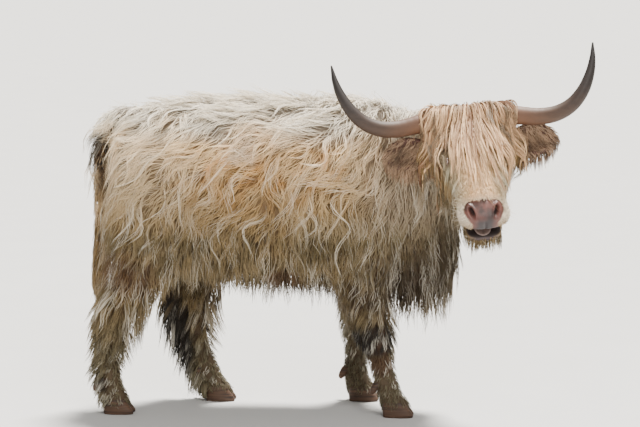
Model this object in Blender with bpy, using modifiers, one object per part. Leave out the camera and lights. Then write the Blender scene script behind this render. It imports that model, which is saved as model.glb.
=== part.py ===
"""A highland cow, life size, standing with its head turned to its right.

Metres, +Z up, +X towards the chest and +Y towards the cow's left. The tables below are in a frame whose
origin is on the floor under the middle of the trunk, and the finished nodes are moved together at the end,
so that the origin is on the floor under the middle of the whole figure. The body is modelled whole from
lofts that are melted together into a core a quarter as deep as the coat. Flat locks grow from that core out to
the coat's full depth, and thin cuts then part the whole into torso, neck and legs.
"""
import math
import random

import bmesh
import bpy
import numpy as np
from mathutils import Matrix, Vector
from mathutils.bvhtree import BVHTree

# Sizes of the whole

GAP = 0.0003            # between two nodes that touch
ORIGIN_SHIFT = Vector((-0.2063, 0.1406, 0.0))
COAT_TORSO = 0.045      # how far the tips of the coat stand off the skin, on each part
COAT_BELLY = 0.075      # and how far they hang under the belly and brisket
COAT_NECK = 0.045
COAT_LEG = 0.030
COAT_SHANK = 0.008
RING_SIDES = 20
WELD = 1e-6             # points closer than this are one
UPRIGHT = 0.35          # a hose that leans less than this from plumb keeps its width along Y

# Torso, at the skin: x, top, bottom, half width

TORSO = (
    (-0.590, 0.970, 0.740, 0.070),
    (-0.570, 1.035, 0.690, 0.140),
    (-0.510, 1.085, 0.630, 0.190),
    (-0.390, 1.115, 0.570, 0.228),
    (-0.220, 1.128, 0.530, 0.245),
    (0.000, 1.130, 0.505, 0.255),
    (0.180, 1.130, 0.490, 0.245),
    (0.330, 1.128, 0.470, 0.215),
    (0.440, 1.100, 0.455, 0.185),
    (0.530, 1.030, 0.450, 0.145),
    (0.590, 0.900, 0.465, 0.100),
    (0.622, 0.760, 0.520, 0.045),
)
TORSO_POWER = 2.25
MIDDLE_SHARE = 0.52     # height of a section's widest line

# Neck, at the skin: x, y, z of its middle, half width, half height

NECK = (
    (0.300, 0.000, 0.860, 0.150, 0.200),
    (0.430, -0.005, 0.890, 0.145, 0.195),
    (0.550, -0.035, 0.925, 0.130, 0.175),
    (0.635, -0.105, 0.955, 0.115, 0.150),
    (0.675, -0.205, 0.970, 0.105, 0.130),
)
NECK_CUT_AT = Vector((0.515, -0.020, 0.950))
NECK_CUT_TO = Vector((0.88, -0.28, 0.30)).normalized()

# Legs, at the skin: x, y, z of the middle, half length, half width

HIND_RIGHT = (
    (-0.400, -0.115, 0.960, 0.120, 0.070),
    (-0.415, -0.140, 0.840, 0.165, 0.095),
    (-0.430, -0.155, 0.700, 0.165, 0.100),
    (-0.470, -0.160, 0.580, 0.128, 0.085),
    (-0.525, -0.160, 0.470, 0.088, 0.062),
    (-0.575, -0.160, 0.370, 0.060, 0.045),
    (-0.600, -0.160, 0.300, 0.046, 0.036),
    (-0.614, -0.160, 0.200, 0.034, 0.029),
    (-0.616, -0.160, 0.130, 0.040, 0.036),
    (-0.606, -0.160, 0.085, 0.041, 0.039),
    (-0.594, -0.160, 0.050, 0.050, 0.044),
    (-0.590, -0.160, 0.030, 0.052, 0.044),
)
HIND_LEFT = (
    (-0.390, 0.115, 0.960, 0.120, 0.070),
    (-0.395, 0.140, 0.840, 0.165, 0.095),
    (-0.375, 0.150, 0.700, 0.165, 0.100),
    (-0.340, 0.150, 0.580, 0.130, 0.085),
    (-0.335, 0.145, 0.470, 0.090, 0.062),
    (-0.356, 0.140, 0.370, 0.064, 0.045),
    (-0.352, 0.137, 0.300, 0.050, 0.036),
    (-0.325, 0.133, 0.200, 0.036, 0.029),
    (-0.300, 0.131, 0.130, 0.040, 0.036),
    (-0.280, 0.130, 0.085, 0.041, 0.039),
    (-0.258, 0.130, 0.050, 0.050, 0.044),
    (-0.252, 0.130, 0.030, 0.052, 0.044),
)
FORE_RIGHT = (
    (0.330, -0.120, 0.900, 0.100, 0.070),
    (0.320, -0.140, 0.740, 0.120, 0.085),
    (0.310, -0.150, 0.580, 0.105, 0.075),
    (0.312, -0.148, 0.470, 0.080, 0.062),
    (0.330, -0.145, 0.370, 0.062, 0.052),
    (0.350, -0.142, 0.300, 0.052, 0.045),
    (0.362, -0.141, 0.250, 0.046, 0.041),
    (0.378, -0.140, 0.180, 0.036, 0.031),
    (0.390, -0.140, 0.125, 0.041, 0.037),
    (0.403, -0.140, 0.085, 0.042, 0.040),
    (0.422, -0.140, 0.050, 0.050, 0.044),
    (0.428, -0.140, 0.030, 0.052, 0.044),
)
FORE_LEFT = (
    (0.330, 0.120, 0.900, 0.100, 0.070),
    (0.310, 0.145, 0.740, 0.120, 0.085),
    (0.295, 0.165, 0.580, 0.105, 0.075),
    (0.285, 0.168, 0.470, 0.080, 0.062),
    (0.278, 0.170, 0.370, 0.062, 0.052),
    (0.274, 0.170, 0.300, 0.052, 0.045),
    (0.270, 0.170, 0.250, 0.046, 0.041),
    (0.262, 0.170, 0.180, 0.036, 0.031),
    (0.258, 0.170, 0.125, 0.041, 0.037),
    (0.264, 0.170, 0.085, 0.042, 0.040),
    (0.276, 0.170, 0.050, 0.050, 0.044),
    (0.282, 0.170, 0.030, 0.052, 0.044),
)
LEG_POWER = 2.1
SHANK_TOP = 0.34        # the long coat of a leg thins out between these heights
SHANK_LOW = 0.17
# Each leg: its table, the side it is on, the cut's rear and front ends, its height there, its inner face
LEGS = {
    "hindleg_right": (HIND_RIGHT, -1, -0.85, -0.350, 0.640, 0.500, 0.012),
    "hindleg_left": (HIND_LEFT, 1, -0.85, -0.190, 0.640, 0.470, 0.012),
    "foreleg_right": (FORE_RIGHT, -1, 0.175, 0.460, 0.460, 0.460, 0.055),
    "foreleg_left": (FORE_LEFT, 1, 0.150, 0.440, 0.460, 0.460, 0.055),
}

# Feet

CLAW_TOP = 0.050
# A claw's outlines, bottom to top: height, how far forward, half length, half width
CLAW = (
    (0.000, 0.013, 0.052, 0.0195),
    (0.008, 0.014, 0.055, 0.0215),
    (0.030, 0.006, 0.048, 0.0210),
    (CLAW_TOP, -0.002, 0.040, 0.0200),
)
CLAW_SPREAD = 0.0232    # from the foot's middle to the claw's
CLAW_SIDES = 12
# Dewclaw: how far behind the foot's middle, to its side, height, radius
DEWCLAW = (
    (0.030, 0.020, 0.118, 0.012),
    (0.052, 0.022, 0.108, 0.012),
    (0.058, 0.023, 0.088, 0.007),
)

# Head, in its own frame: x to the cow's right, y from poll to muzzle, z out of the forehead

HEAD_AT = Vector((0.688, -0.272, 1.078))
HEAD_TURN = math.radians(7)     # of the face, from straight towards -Y to +X
HEAD_NOD = math.radians(52)     # of the face line, from plumb
HEAD_ROLL = math.radians(5)     # right side down
# Skull and upper muzzle at the skin: y, top, bottom, half width
SKULL = (
    (-0.065, -0.045, -0.130, 0.055),
    (-0.040, -0.010, -0.170, 0.095),
    (0.010, 0.010, -0.200, 0.112),
    (0.070, 0.014, -0.212, 0.116),
    (0.130, 0.010, -0.205, 0.114),
    (0.190, 0.002, -0.180, 0.100),
    (0.245, -0.006, -0.150, 0.085),
    (0.300, -0.014, -0.128, 0.076),
    (0.345, -0.020, -0.114, 0.079),
    (0.385, -0.026, -0.106, 0.085),
    (0.414, -0.036, -0.102, 0.083),
    (0.434, -0.050, -0.098, 0.068),
    (0.442, -0.066, -0.092, 0.040),
)
JAW = (
    (0.060, -0.130, -0.205, 0.080),
    (0.110, -0.130, -0.236, 0.086),
    (0.170, -0.130, -0.228, 0.080),
    (0.235, -0.120, -0.202, 0.066),
    (0.300, -0.118, -0.184, 0.057),
    (0.355, -0.132, -0.178, 0.060),
    (0.398, -0.137, -0.176, 0.062),
    (0.418, -0.142, -0.170, 0.051),
    (0.428, -0.149, -0.164, 0.028),
)
HEAD_POWER = 2.3
HEAD_COAT = 0.012
BARE_FROM = 0.27        # along the face, the coat thins out from here
BARE_TO = 0.34          # and the muzzle is bare from here to its tip
JAW_COAT = 0.004
NAPE = (
    ((0.0, 0.060, -0.100), 0.100, 0.100),
    ((0.0, 0.030, -0.150), 0.128, 0.150),
    ((0.0, 0.000, -0.200), 0.128, 0.155),
)
HEAD_CUT_AT = Vector((0.0, 0.030, -0.150))
HEAD_CUT_TO = Vector((0.0, -0.72, -0.69)).normalized()      # points into the neck

# Face

EYE_AT = Vector((0.0960, 0.148, -0.048))
EYE_RADIUS = 0.0215
LID_AT = Vector((0.1080, 0.148, -0.046))
LID_RADIUS = 0.0200
LID_ROUND = 0.0062
LID_LENGTH = 1.30       # the slit is longer than high
NOSTRIL_AT = Vector((0.054, 0.420, -0.040))
NOSTRIL_SIZE = Vector((0.0120, 0.0260, 0.0200))
NOSTRIL_TILT = math.radians(38)
TONGUE_AT = Vector((0.004, 0.392, -0.131))
TONGUE_SIZE = Vector((0.030, 0.042, 0.0085))

# Horns: how far out, up and forward of the poll the middle line runs, and the radius

HORN = (
    (0.085, 0.004, 0.000, 0.036),
    (0.130, 0.002, 0.002, 0.035),
    (0.190, -0.009, 0.008, 0.032),
    (0.250, -0.018, 0.016, 0.030),
    (0.312, -0.013, 0.026, 0.028),
    (0.366, 0.012, 0.034, 0.0255),
    (0.409, 0.057, 0.038, 0.022),
    (0.438, 0.112, 0.034, 0.017),
    (0.455, 0.168, 0.026, 0.011),
    (0.463, 0.226, 0.016, 0.003),
)
HORN_ROOT_AT = Vector((0.0, -0.036, -0.014))
HORN_LEAN = math.radians(42)    # of the horns' rise, from the face line towards the forehead's side
HORN_ROOM = 0.002               # what is cut clear of a horn keeps this far off
HORN_CUT = 0.128                # how far out from the head's middle the horn leaves its boss
# The poll's ridge between the horns: how far out, and the radius
POLL = ((-0.155, 0.036), (-0.135, 0.040), (-0.070, 0.046), (0.000, 0.046), (0.070, 0.046), (0.135, 0.040),
        (0.155, 0.036))

# Ears: share of the length, half height, half depth

EAR = (
    (0.00, 0.028, 0.024),
    (0.15, 0.038, 0.026),
    (0.38, 0.056, 0.024),
    (0.62, 0.060, 0.018),
    (0.84, 0.046, 0.012),
    (1.00, 0.014, 0.005),
)
EAR_ROOT = Vector((0.104, 0.034, -0.120))
EAR_TIP = Vector((0.306, 0.052, -0.092))
EAR_LIFT = 0.018                # the left ear is held this much higher than the right one
EAR_DROOP = 0.012
CUP = (
    (0.20, 0.016, 0.014),
    (0.38, 0.042, 0.020),
    (0.62, 0.047, 0.016),
    (0.84, 0.033, 0.010),
    (0.93, 0.012, 0.005),
)
CUP_FORWARD = 0.016

# Tail: x, y, z of the middle, half width, half depth

TAIL = (
    (-0.520, 0.000, 1.070, 0.040, 0.034),
    (-0.580, 0.000, 1.078, 0.036, 0.030),
    (-0.630, 0.000, 1.050, 0.034, 0.027),
    (-0.655, 0.002, 0.990, 0.034, 0.024),
    (-0.662, 0.004, 0.900, 0.032, 0.022),
    (-0.664, 0.006, 0.780, 0.029, 0.021),
    (-0.664, 0.006, 0.660, 0.028, 0.021),
    (-0.668, 0.004, 0.560, 0.028, 0.022),
    (-0.676, 0.002, 0.480, 0.022, 0.018),
    (-0.682, 0.000, 0.420, 0.010, 0.009),
)
TAIL_CUT_X = -0.560      # the tail's root end, inside the rump
TAIL_SIDES = 9

# Locks. A root sits inside the core by the sink, and the tip stands off the core by the lift

SEED = 7
CORE_SHARE = 0.25       # of the coat's depth that the core fills
# Rings of a lock: place along it, share of the lift, share of the half width
LOCK_RINGS = (
    (0.00, 0.00, 0.55),
    (0.34, 0.45, 1.00),
    (0.72, 0.76, 0.70),
)
LOCK_SINK = 0.013
NECK_LIFT = 0.030
LEG_LIFT = 0.018
LOCK_RAISE = 0.007      # every other lock of a row lies this much higher, so that it overlaps its neighbours
LOCK_THICKNESS = 0.005
LOCK_BEND = 0.5         # how far a lock bends to one side and back, as a share of its way
LOCK_LENGTHS = (0.85, 1.10)     # shortest and longest, as shares of the length in a table
LOCK_STRAY = 0.08       # how far a root strays along its row, as a share of the row's spacing
TURN_STRAY = 7.0        # how far it strays round the body, in degrees
DOWN = Vector((0.0, 0.0, -1.0))
HANG_FROM = -0.40       # where the core faces down more than this, a lock leaves it and hangs
TORSO_LEAN = Vector((-0.30, 0.0, -1.0))
# Rows down each side of the trunk: angle from the spine, number, length, half width, lift
TORSO_LOCKS = (
    (14, 6, 0.27, 0.070, 0.012),
    (46, 7, 0.35, 0.066, 0.028),
    (80, 7, 0.35, 0.064, 0.030),
    (114, 7, 0.26, 0.060, 0.030),
    (146, 4, 0.15, 0.056, 0.030),
)
TORSO_REACH = (-0.580, 0.590)   # where along the trunk the first and last of a row grow
NECK_LEAN = Vector((-0.10, 0.0, -1.0))
NECK_LOCKS = (
    (16, 0.24, 0.064),
    (62, 0.26, 0.064),
    (116, 0.22, 0.060),
)
NECK_COLUMNS = (0.45, 0.80)     # shares of the neck's length
NECK_STAGGER = 8.0      # how much further round the second column's roots are, in degrees
LEG_LEAN = Vector((-0.12, 0.0, -1.0))
# Locks of a leg: how far below its upper cut, angle from the front round the outside, length, half width
LEG_LOCKS = (
    (0.05, 130, 0.18, 0.038),
    (0.07, 50, 0.17, 0.034),
    (0.09, 195, 0.20, 0.034),
)

# Forelock, from the poll over the forehead, in the head's frame: place on the poll, length, how many, spread
FORELOCK = (
    (-0.010, 0.030, 0.27, 5, 0.096),
    (-0.040, 0.040, 0.21, 4, 0.074),
)
FORELOCK_WIDTH = 0.036
FORELOCK_LIFT = 0.020
FORELOCK_RAISE = 0.0035
FORELOCK_FAN = 0.55     # how far the outermost tress leans outwards
FORELOCK_STRAY = 0.10
FORELOCK_SHORTER = 0.25     # how much shorter the outermost tress is
CHEEK_LOCKS = (((0.112, 0.085, -0.080), 0.16),)
CHEEK_LIFT = 0.014
CHIN_LOCKS = (((0.006, 0.290, -0.184), 0.08),)
CHIN_SINK = 0.02
HEAD_LOCK_WIDTH = 0.024
# Hanging hair of an ear: share of its length, how long, half width
EAR_LOCKS = ((0.38, 0.040, 0.028), (0.62, 0.050, 0.032), (0.85, 0.044, 0.028))
# The tail's switch: height of the root, angle round the tail, length
SWITCH = (
    (0.590, 100, 0.19),
    (0.550, 250, 0.19),
    (0.510, 180, 0.18),
    (0.460, 320, 0.15),
)
SWITCH_WIDTH = 0.024
SWITCH_LEAN = Vector((-0.06, 0.0, -1.0))
SWITCH_FLARE = 0.10     # how far the tresses spread outwards
SWITCH_ROOT = 0.6       # how far out from the tail's middle line they grow, as a share of its half width
SWITCH_SINK = 0.03

# Colours and roughness of the nodes

FINISHES = {
    "torso": ((0.62, 0.50, 0.36), 0.85),
    "neck": ((0.60, 0.50, 0.39), 0.85),
    "head": ((0.64, 0.52, 0.40), 0.80),
    "leg": ((0.50, 0.43, 0.34), 0.85),
    "tail": ((0.44, 0.36, 0.27), 0.85),
    "ear": ((0.36, 0.24, 0.16), 0.85),
    "horn": ((0.26, 0.17, 0.12), 0.40),
    "eye": ((0.03, 0.02, 0.015), 0.12),
    "tongue": ((0.30, 0.25, 0.24), 0.45),
    "claw": ((0.22, 0.14, 0.09), 0.60),
}


# Making meshes

for old in list(bpy.data.objects):
    bpy.data.objects.remove(old, do_unlink=True)

cow = bpy.data.collections.new("highland_cow")
bpy.context.scene.collection.children.link(cow)
helpers = bpy.data.collections.new("helpers")
helpers.hide_render = True
bpy.context.scene.collection.children.link(helpers)


def keep_in(obj, collection):
    for other in list(obj.users_collection):
        other.objects.unlink(obj)
    collection.objects.link(obj)
    return obj


def mesh_object(name, points, faces):
    """A helper object in triangles, which point outwards."""
    mesh = bpy.data.meshes.new(name)
    mesh.from_pydata([tuple(p) for p in points], [], faces)
    shell = bmesh.new()
    shell.from_mesh(mesh)
    bmesh.ops.recalc_face_normals(shell, faces=shell.faces)
    bmesh.ops.triangulate(shell, faces=shell.faces)
    shell.to_mesh(mesh)
    shell.free()
    obj = bpy.data.objects.new(name, mesh)
    helpers.objects.link(obj)
    return obj


def discard(objects):
    for obj in objects:
        bpy.data.objects.remove(obj, do_unlink=True)


def freeze(obj):
    """Applies an object's modifiers and its place to its mesh."""
    bpy.context.view_layer.update()
    graph = bpy.context.evaluated_depsgraph_get()
    mesh = bpy.data.meshes.new_from_object(obj.evaluated_get(graph))
    mesh.transform(obj.matrix_world)
    obj.modifiers.clear()
    obj.matrix_world = Matrix.Identity(4)
    obj.data = mesh
    return obj


def smooth_rows(rows, parts):
    """A smooth curve through the rows of a table, with each step divided into parts."""
    table = np.array(rows, float)
    padded = np.vstack([2 * table[0] - table[1], table, 2 * table[-1] - table[-2]])
    found = []
    for i in range(len(table) - 1):
        a, b, c, d = padded[i : i + 4]
        for k in range(parts):
            t = k / parts
            curve = 2 * b + (c - a) * t + (2 * a - 5 * b + 4 * c - d) * t**2 + (3 * b - a - 3 * c + d) * t**3
            found.append(0.5 * curve)
    found.append(table[-1])
    return [[float(value) for value in row] for row in found]


def ring(middle, across, upward, half_width, up, down, power, sides=RING_SIDES):
    """Points of a section whose outline lies between an ellipse and a box."""
    points = []
    for k in range(sides):
        angle = 2 * math.pi * k / sides
        c, s = math.cos(angle), math.sin(angle)
        out = math.copysign(abs(c) ** (2 / power), c) * half_width
        rise = math.copysign(abs(s) ** (2 / power), s) * (up if s > 0 else down)
        points.append(Vector(middle) + out * Vector(across) + rise * Vector(upward))
    return points


def loft(name, rings):
    """A closed skin over a row of rings with the same number of points."""
    sides = len(rings[0])
    points = [p for one in rings for p in one]
    faces = [
        (i * sides + k, i * sides + (k + 1) % sides, (i + 1) * sides + (k + 1) % sides, (i + 1) * sides + k)
        for i in range(len(rings) - 1)
        for k in range(sides)
    ]
    faces.append(tuple(range(sides)))
    faces.append(tuple(range(len(points) - sides, len(points))))
    return mesh_object(name, points, faces)


def torso_form(coat, belly):
    """The trunk as rings square to X, swollen by the coat, which hangs deeper under the belly."""
    rings = []
    rows = smooth_rows(TORSO, 3)
    first, last = rows[0][0], rows[-1][0]
    for x, top, bottom, half in rows:
        place = 2 * (x - first) / (last - first) - 1
        middle = Vector((x + coat * place**5, 0, bottom + (top - bottom) * MIDDLE_SHARE))
        up = top - middle.z + coat
        down = middle.z - bottom + belly
        rings.append(ring(middle, (0, 1, 0), (0, 0, 1), half + coat, up, down, TORSO_POWER))
    return loft("torso_form", rings)


def hose(name, rows, swell=0.0, power=2.0, parts=3, sides=RING_SIDES):
    """A loft along a bent path, square to it, from rows of x, y, z, half width and half depth."""
    table = smooth_rows(rows, parts)
    rings = []
    for i, row in enumerate(table):
        ahead, behind = table[min(i + 1, len(table) - 1)], table[max(i - 1, 0)]
        along = (Vector(ahead[:3]) - Vector(behind[:3])).normalized()
        across = along.cross(Vector((0, 0, 1)))
        across = across.normalized() if across.length > UPRIGHT else Vector((0, -1, 0))
        across = -across if across.y > 0 else across
        upward = across.cross(along).normalized()
        half_width, half_depth = row[3] + swell, row[4] + swell
        rings.append(ring(row[:3], across, upward, half_width, half_depth, half_depth, power, sides))
    return loft(name, rings)


def leg_form(name, rows, coat, shank_coat):
    """Level rings down a leg, whose coat thins out below the knee or hock."""
    rings = []
    for x, y, z, half_length, half_width in smooth_rows(rows, 3):
        share = min(1, max(0, (z - SHANK_LOW) / (SHANK_TOP - SHANK_LOW)))
        swell = shank_coat + (coat - shank_coat) * share
        width = half_width + swell
        rings.append(ring((x, y, z), (1, 0, 0), (0, 1, 0), half_length + swell, width, width, LEG_POWER))
    return loft(name, rings)


def melt(name, pieces, voxel, rounds, triangles):
    """Closed pieces that cross each other become one smooth skin of about so many triangles."""
    whole = bmesh.new()
    for piece in pieces:
        whole.from_mesh(piece.data)
    mesh = bpy.data.meshes.new(name)
    whole.to_mesh(mesh)
    whole.free()
    discard(pieces)
    obj = bpy.data.objects.new(name, mesh)
    helpers.objects.link(obj)
    remesh = obj.modifiers.new("remesh", "REMESH")
    remesh.mode = "VOXEL"
    remesh.voxel_size = voxel
    smooth = obj.modifiers.new("smooth", "SMOOTH")
    smooth.factor = 0.5
    smooth.iterations = rounds
    freeze(obj)
    count = sum(len(face.vertices) - 2 for face in obj.data.polygons)
    thin = obj.modifiers.new("thin", "DECIMATE")
    thin.ratio = triangles / count
    return freeze(obj)


# Cutting

def block(name, low, high):
    """A box between two corners."""
    bpy.ops.mesh.primitive_cube_add(size=1)
    obj = keep_in(bpy.context.object, helpers)
    obj.name = name
    for corner in obj.data.vertices:
        corner.co = Vector([high[i] if corner.co[i] > 0 else low[i] for i in range(3)])
    return obj


def slab(name, point, normal, depth=3.0):
    """A big box that fills the side of a plane to which its normal points."""
    obj = block(name, (-depth, -depth, 0), (depth, depth, depth))
    turn = Vector(normal).normalized().to_track_quat("Z", "Y").to_matrix().to_4x4()
    obj.data.transform(Matrix.Translation(point) @ turn)
    return obj


def keep_largest(obj):
    """Drops loose scraps and sealed hollows, and keeps the one largest closed surface."""
    shell = bmesh.new()
    shell.from_mesh(obj.data)
    bmesh.ops.triangulate(shell, faces=shell.faces, quad_method="FIXED", ngon_method="EAR_CLIP")
    bmesh.ops.remove_doubles(shell, verts=shell.verts, dist=WELD)
    left = set(shell.faces)
    groups = []
    while left:
        group, front = [], [left.pop()]
        while front:
            face = front.pop()
            group.append(face)
            for edge in face.edges:
                for other in edge.link_faces:
                    if other in left:
                        left.remove(other)
                        front.append(other)
        groups.append(group)
    groups.sort(key=len)
    for group in groups[:-1]:
        bmesh.ops.delete(shell, geom=group, context="FACES")
    shell.to_mesh(obj.data)
    shell.free()
    return obj


def boolean(obj, other, operation, solver="EXACT"):
    """Applies one Boolean with an object or a collection."""
    cut = obj.modifiers.new(operation, "BOOLEAN")
    cut.operation = operation
    cut.solver = solver
    if isinstance(other, bpy.types.Collection):
        cut.operand_type = "COLLECTION"
        cut.collection = other
    else:
        cut.object = other
    return freeze(obj)


def copy_of(obj, name):
    found = obj.copy()
    found.data = obj.data.copy()
    found.name = name
    helpers.objects.link(found)
    return found


def inside(obj, cutters, solver="EXACT"):
    """Keeps what an object shares with all the cutters."""
    for cutter in cutters:
        boolean(obj, cutter, "INTERSECT", solver)
    return keep_largest(obj)


def outside(obj, cutters, solver="EXACT"):
    """Takes the cutters out of an object."""
    for cutter in cutters:
        boolean(obj, cutter, "DIFFERENCE", solver)
    return keep_largest(obj)


def leg_region(name, side, rear, front, rear_top, front_top, inner, gap=0.0):
    """The space of one leg: a box under a sloping top, which a gap makes larger on every face."""
    near, far = inner - gap, 0.60
    low_y, high_y = (near, far) if side > 0 else (-far, -near)
    obj = block(name, (rear - gap, low_y, -1.0), (front + gap, high_y, 0.0))
    for corner in obj.data.vertices:
        if corner.co.z > -0.5:
            corner.co.z = (rear_top if corner.co.x < 0.5 * (rear + front) else front_top) + gap
    return obj


# Locks

draw = random.Random(SEED)


def ribbon(middles, fronts, half_width):
    """A closed, flat, tapered band: a ring of three points at each place of a lock, and its tip.

    Both faces are split along like diagonals, so that they don't cross where the band twists.
    """
    points = []
    for k, (_, _, width) in enumerate(LOCK_RINGS):
        along = (middles[k + 1] - middles[max(k - 1, 0)]).normalized()
        across = along.cross(fronts[k]).normalized()
        front = across.cross(along)
        wide = across * half_width * width
        deep = front * LOCK_THICKNESS * width
        points += [middles[k] - wide - deep, middles[k] + wide - deep, middles[k] + deep]
    points.append(middles[-1])
    faces = [(0, 1, 2)]
    last = 3 * (len(LOCK_RINGS) - 1)
    for k in range(0, last, 3):
        left, right, ridge, left_next, right_next, ridge_next = range(k, k + 6)
        faces += [(left, right, right_next), (left, right_next, left_next)]
        faces += [(right, ridge, right_next), (ridge, ridge_next, right_next)]
        faces += [(ridge, left, ridge_next), (left, left_next, ridge_next)]
    faces += [(last + i, last + (i + 1) % 3, last + 3) for i in range(3)]
    return mesh_object("lock", points, faces)


def lock(skin, root, lean, length, half_width, lift, raised, hangs=True):
    """A tress that starts inside its core, lies over it in the lean's way and may hang free at its end."""
    at, out, _, _ = skin.find_nearest(Vector(root))
    bend = draw.uniform(-LOCK_BEND, LOCK_BEND)
    length *= draw.uniform(*LOCK_LENGTHS)
    places = [place for place, _, _ in LOCK_RINGS] + [1.0]
    heights = [-LOCK_SINK] + [share * lift + raised for _, share, _ in LOCK_RINGS[1:]] + [lift + raised]
    middles, fronts = [], []
    for k, place in enumerate(places):
        middles.append(at + out * heights[k])
        fronts.append((out + fronts[-1]).normalized() if fronts else out.copy())
        across = lean.cross(out).normalized()
        flow = lean.normalized() + across * bend * math.cos(math.pi * place)
        step = length * (places[min(k + 1, len(places) - 1)] - place)
        if out.z > HANG_FROM or not hangs:
            flow -= out * flow.dot(out)
            at, out, _, _ = skin.find_nearest(at + flow.normalized() * step)
        else:
            at = at + flow.normalized() * step
            out = Vector((out.x, out.y, HANG_FROM)).normalized()
    return ribbon(middles, fronts, half_width)


def tress(root, way, front, length, half_width, sink):
    """A tress that hangs free, with a slight bend, from a root sunk into what it grows from."""
    side = way.cross(front).normalized() * draw.uniform(-0.10, 0.10) * length
    middles = []
    for place in [place for place, _, _ in LOCK_RINGS] + [1.0]:
        run = -sink + (length + sink) * place
        middles.append(Vector(root) + way * run + side * place**2)
    return ribbon(middles, [front] * len(middles), half_width)


def grow(obj, locks):
    """Joins locks to the node that they grow from, in one union, and keeps one closed surface."""
    group = bpy.data.collections.new("locks")
    for one in locks:
        keep_in(one, group)
    boolean(obj, group, "UNION", "MANIFOLD")
    discard(locks)
    bpy.data.collections.remove(group)
    return keep_largest(obj)


def skin_of(obj):
    return BVHTree.FromPolygons([v.co for v in obj.data.vertices], [p.vertices for p in obj.data.polygons])


def torso_locks(skin):
    """Staggered columns down both sides of the trunk, which part along the spine."""
    found = []
    rows = smooth_rows(TORSO, 6)
    first, last = TORSO_REACH
    for side in (-1, 1):
        for j, (angle, number, length, half_width, lift) in enumerate(TORSO_LOCKS):
            for i in range(number):
                place = (i + 0.5 * (j % 2) + draw.uniform(-LOCK_STRAY, LOCK_STRAY)) / (number - 0.5)
                x = first + (last - first) * place
                _, top, bottom, half = min(rows, key=lambda row: abs(row[0] - x))
                turn = math.radians(angle + draw.uniform(-TURN_STRAY, TURN_STRAY))
                middle = bottom + (top - bottom) * MIDDLE_SHARE
                root = (x, side * half * math.sin(turn), middle + (top - middle) * math.cos(turn))
                found.append(lock(skin, root, TORSO_LEAN, length, half_width, lift, LOCK_RAISE * (i % 2)))
    return found


def neck_locks(skin):
    found = []
    rows = smooth_rows(NECK, 6)
    for side in (-1, 1):
        for i, place in enumerate(NECK_COLUMNS):
            x, y, z, half, rise = rows[round(place * (len(rows) - 1))]
            for angle, length, half_width in NECK_LOCKS:
                turn = math.radians(angle + draw.uniform(-TURN_STRAY, TURN_STRAY) + NECK_STAGGER * (i % 2))
                root = (x, y + side * half * math.sin(turn), z + rise * math.cos(turn))
                found.append(lock(skin, root, NECK_LEAN, length, half_width, NECK_LIFT, LOCK_RAISE * (i % 2)))
    return found


def leg_locks(skin, rows, side, rear, front, rear_top, front_top, inner):
    found = []
    table = smooth_rows(rows, 6)
    for below, angle, length, half_width in LEG_LOCKS:
        back = 0.5 - 0.5 * math.cos(math.radians(angle))
        height = front_top + (rear_top - front_top) * back - below
        x, y, z, half_length, half = min(table, key=lambda row: abs(row[2] - height))
        turn = math.radians(angle + draw.uniform(-TURN_STRAY, TURN_STRAY))
        root = (x + half_length * math.cos(turn), y + side * half * math.sin(turn), z)
        found.append(lock(skin, root, LEG_LEAN, length, half_width, LEG_LIFT, 0.0, hangs=False))
    return found


def forelock(skin):
    """Two layers of tresses that fan out from the poll over the forehead and the eyes."""
    found = []
    for y, z, length, number, spread in FORELOCK:
        for i in range(number):
            place = 2 * (i + 0.5) / number - 1
            root = HEAD @ Vector((spread * place, y, z))
            stray = draw.uniform(-FORELOCK_STRAY, FORELOCK_STRAY)
            lean = HEAD.to_3x3() @ Vector((FORELOCK_FAN * place + stray, 1.0, 0.0))
            size = length * (1 - FORELOCK_SHORTER * abs(place))
            raised = FORELOCK_RAISE * (i % 2)
            found.append(lock(skin, root, lean, size, FORELOCK_WIDTH, FORELOCK_LIFT, raised, hangs=False))
    return found


def face_locks(skin):
    """Tresses of the cheeks, which lie along them, and of the chin, which hang."""
    found = []
    for side in (-1, 1):
        for (x, y, z), length in CHEEK_LOCKS:
            root = HEAD @ Vector((side * x, y, z))
            found.append(lock(skin, root, DOWN, length, HEAD_LOCK_WIDTH, CHEEK_LIFT, 0.0, hangs=False))
    for root, length in CHIN_LOCKS:
        front = HEAD.to_3x3() @ Vector((0.0, 1.0, 0.0))
        found.append(tress(HEAD @ Vector(root), DOWN, front, length, HEAD_LOCK_WIDTH, CHIN_SINK))
    return found


def switch():
    """Tresses round the tail's end."""
    found = []
    table = smooth_rows(TAIL, 6)
    for height, angle, length in SWITCH:
        x, y, z, half, _ = min(table, key=lambda row: abs(row[2] - height))
        turn = math.radians(angle)
        out = Vector((math.cos(turn), math.sin(turn), 0))
        way = (SWITCH_LEAN + out * SWITCH_FLARE).normalized()
        root = Vector((x, y, z)) + out * half * SWITCH_ROOT
        found.append(tress(root, way, out, length, SWITCH_WIDTH, SWITCH_SINK))
    return found


# Head frame

def head_matrix():
    face = Vector((math.sin(HEAD_TURN), -math.cos(HEAD_TURN), 0))
    up = Vector((0, 0, 1))
    right = face.cross(up)
    tilt = Matrix.Rotation(HEAD_ROLL, 3, face)
    right, up = tilt @ right, tilt @ up
    nose = face * math.sin(HEAD_NOD) - up * math.cos(HEAD_NOD)
    out = face * math.cos(HEAD_NOD) + up * math.sin(HEAD_NOD)
    turn = Matrix((right, nose, out)).transposed().to_4x4()
    return Matrix.Translation(HEAD_AT) @ turn


HEAD = head_matrix()


def head_slab(name, point, normal):
    """A slab whose plane is given in the head's frame."""
    return slab(name, HEAD @ Vector(point), HEAD.to_3x3() @ Vector(normal))


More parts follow.
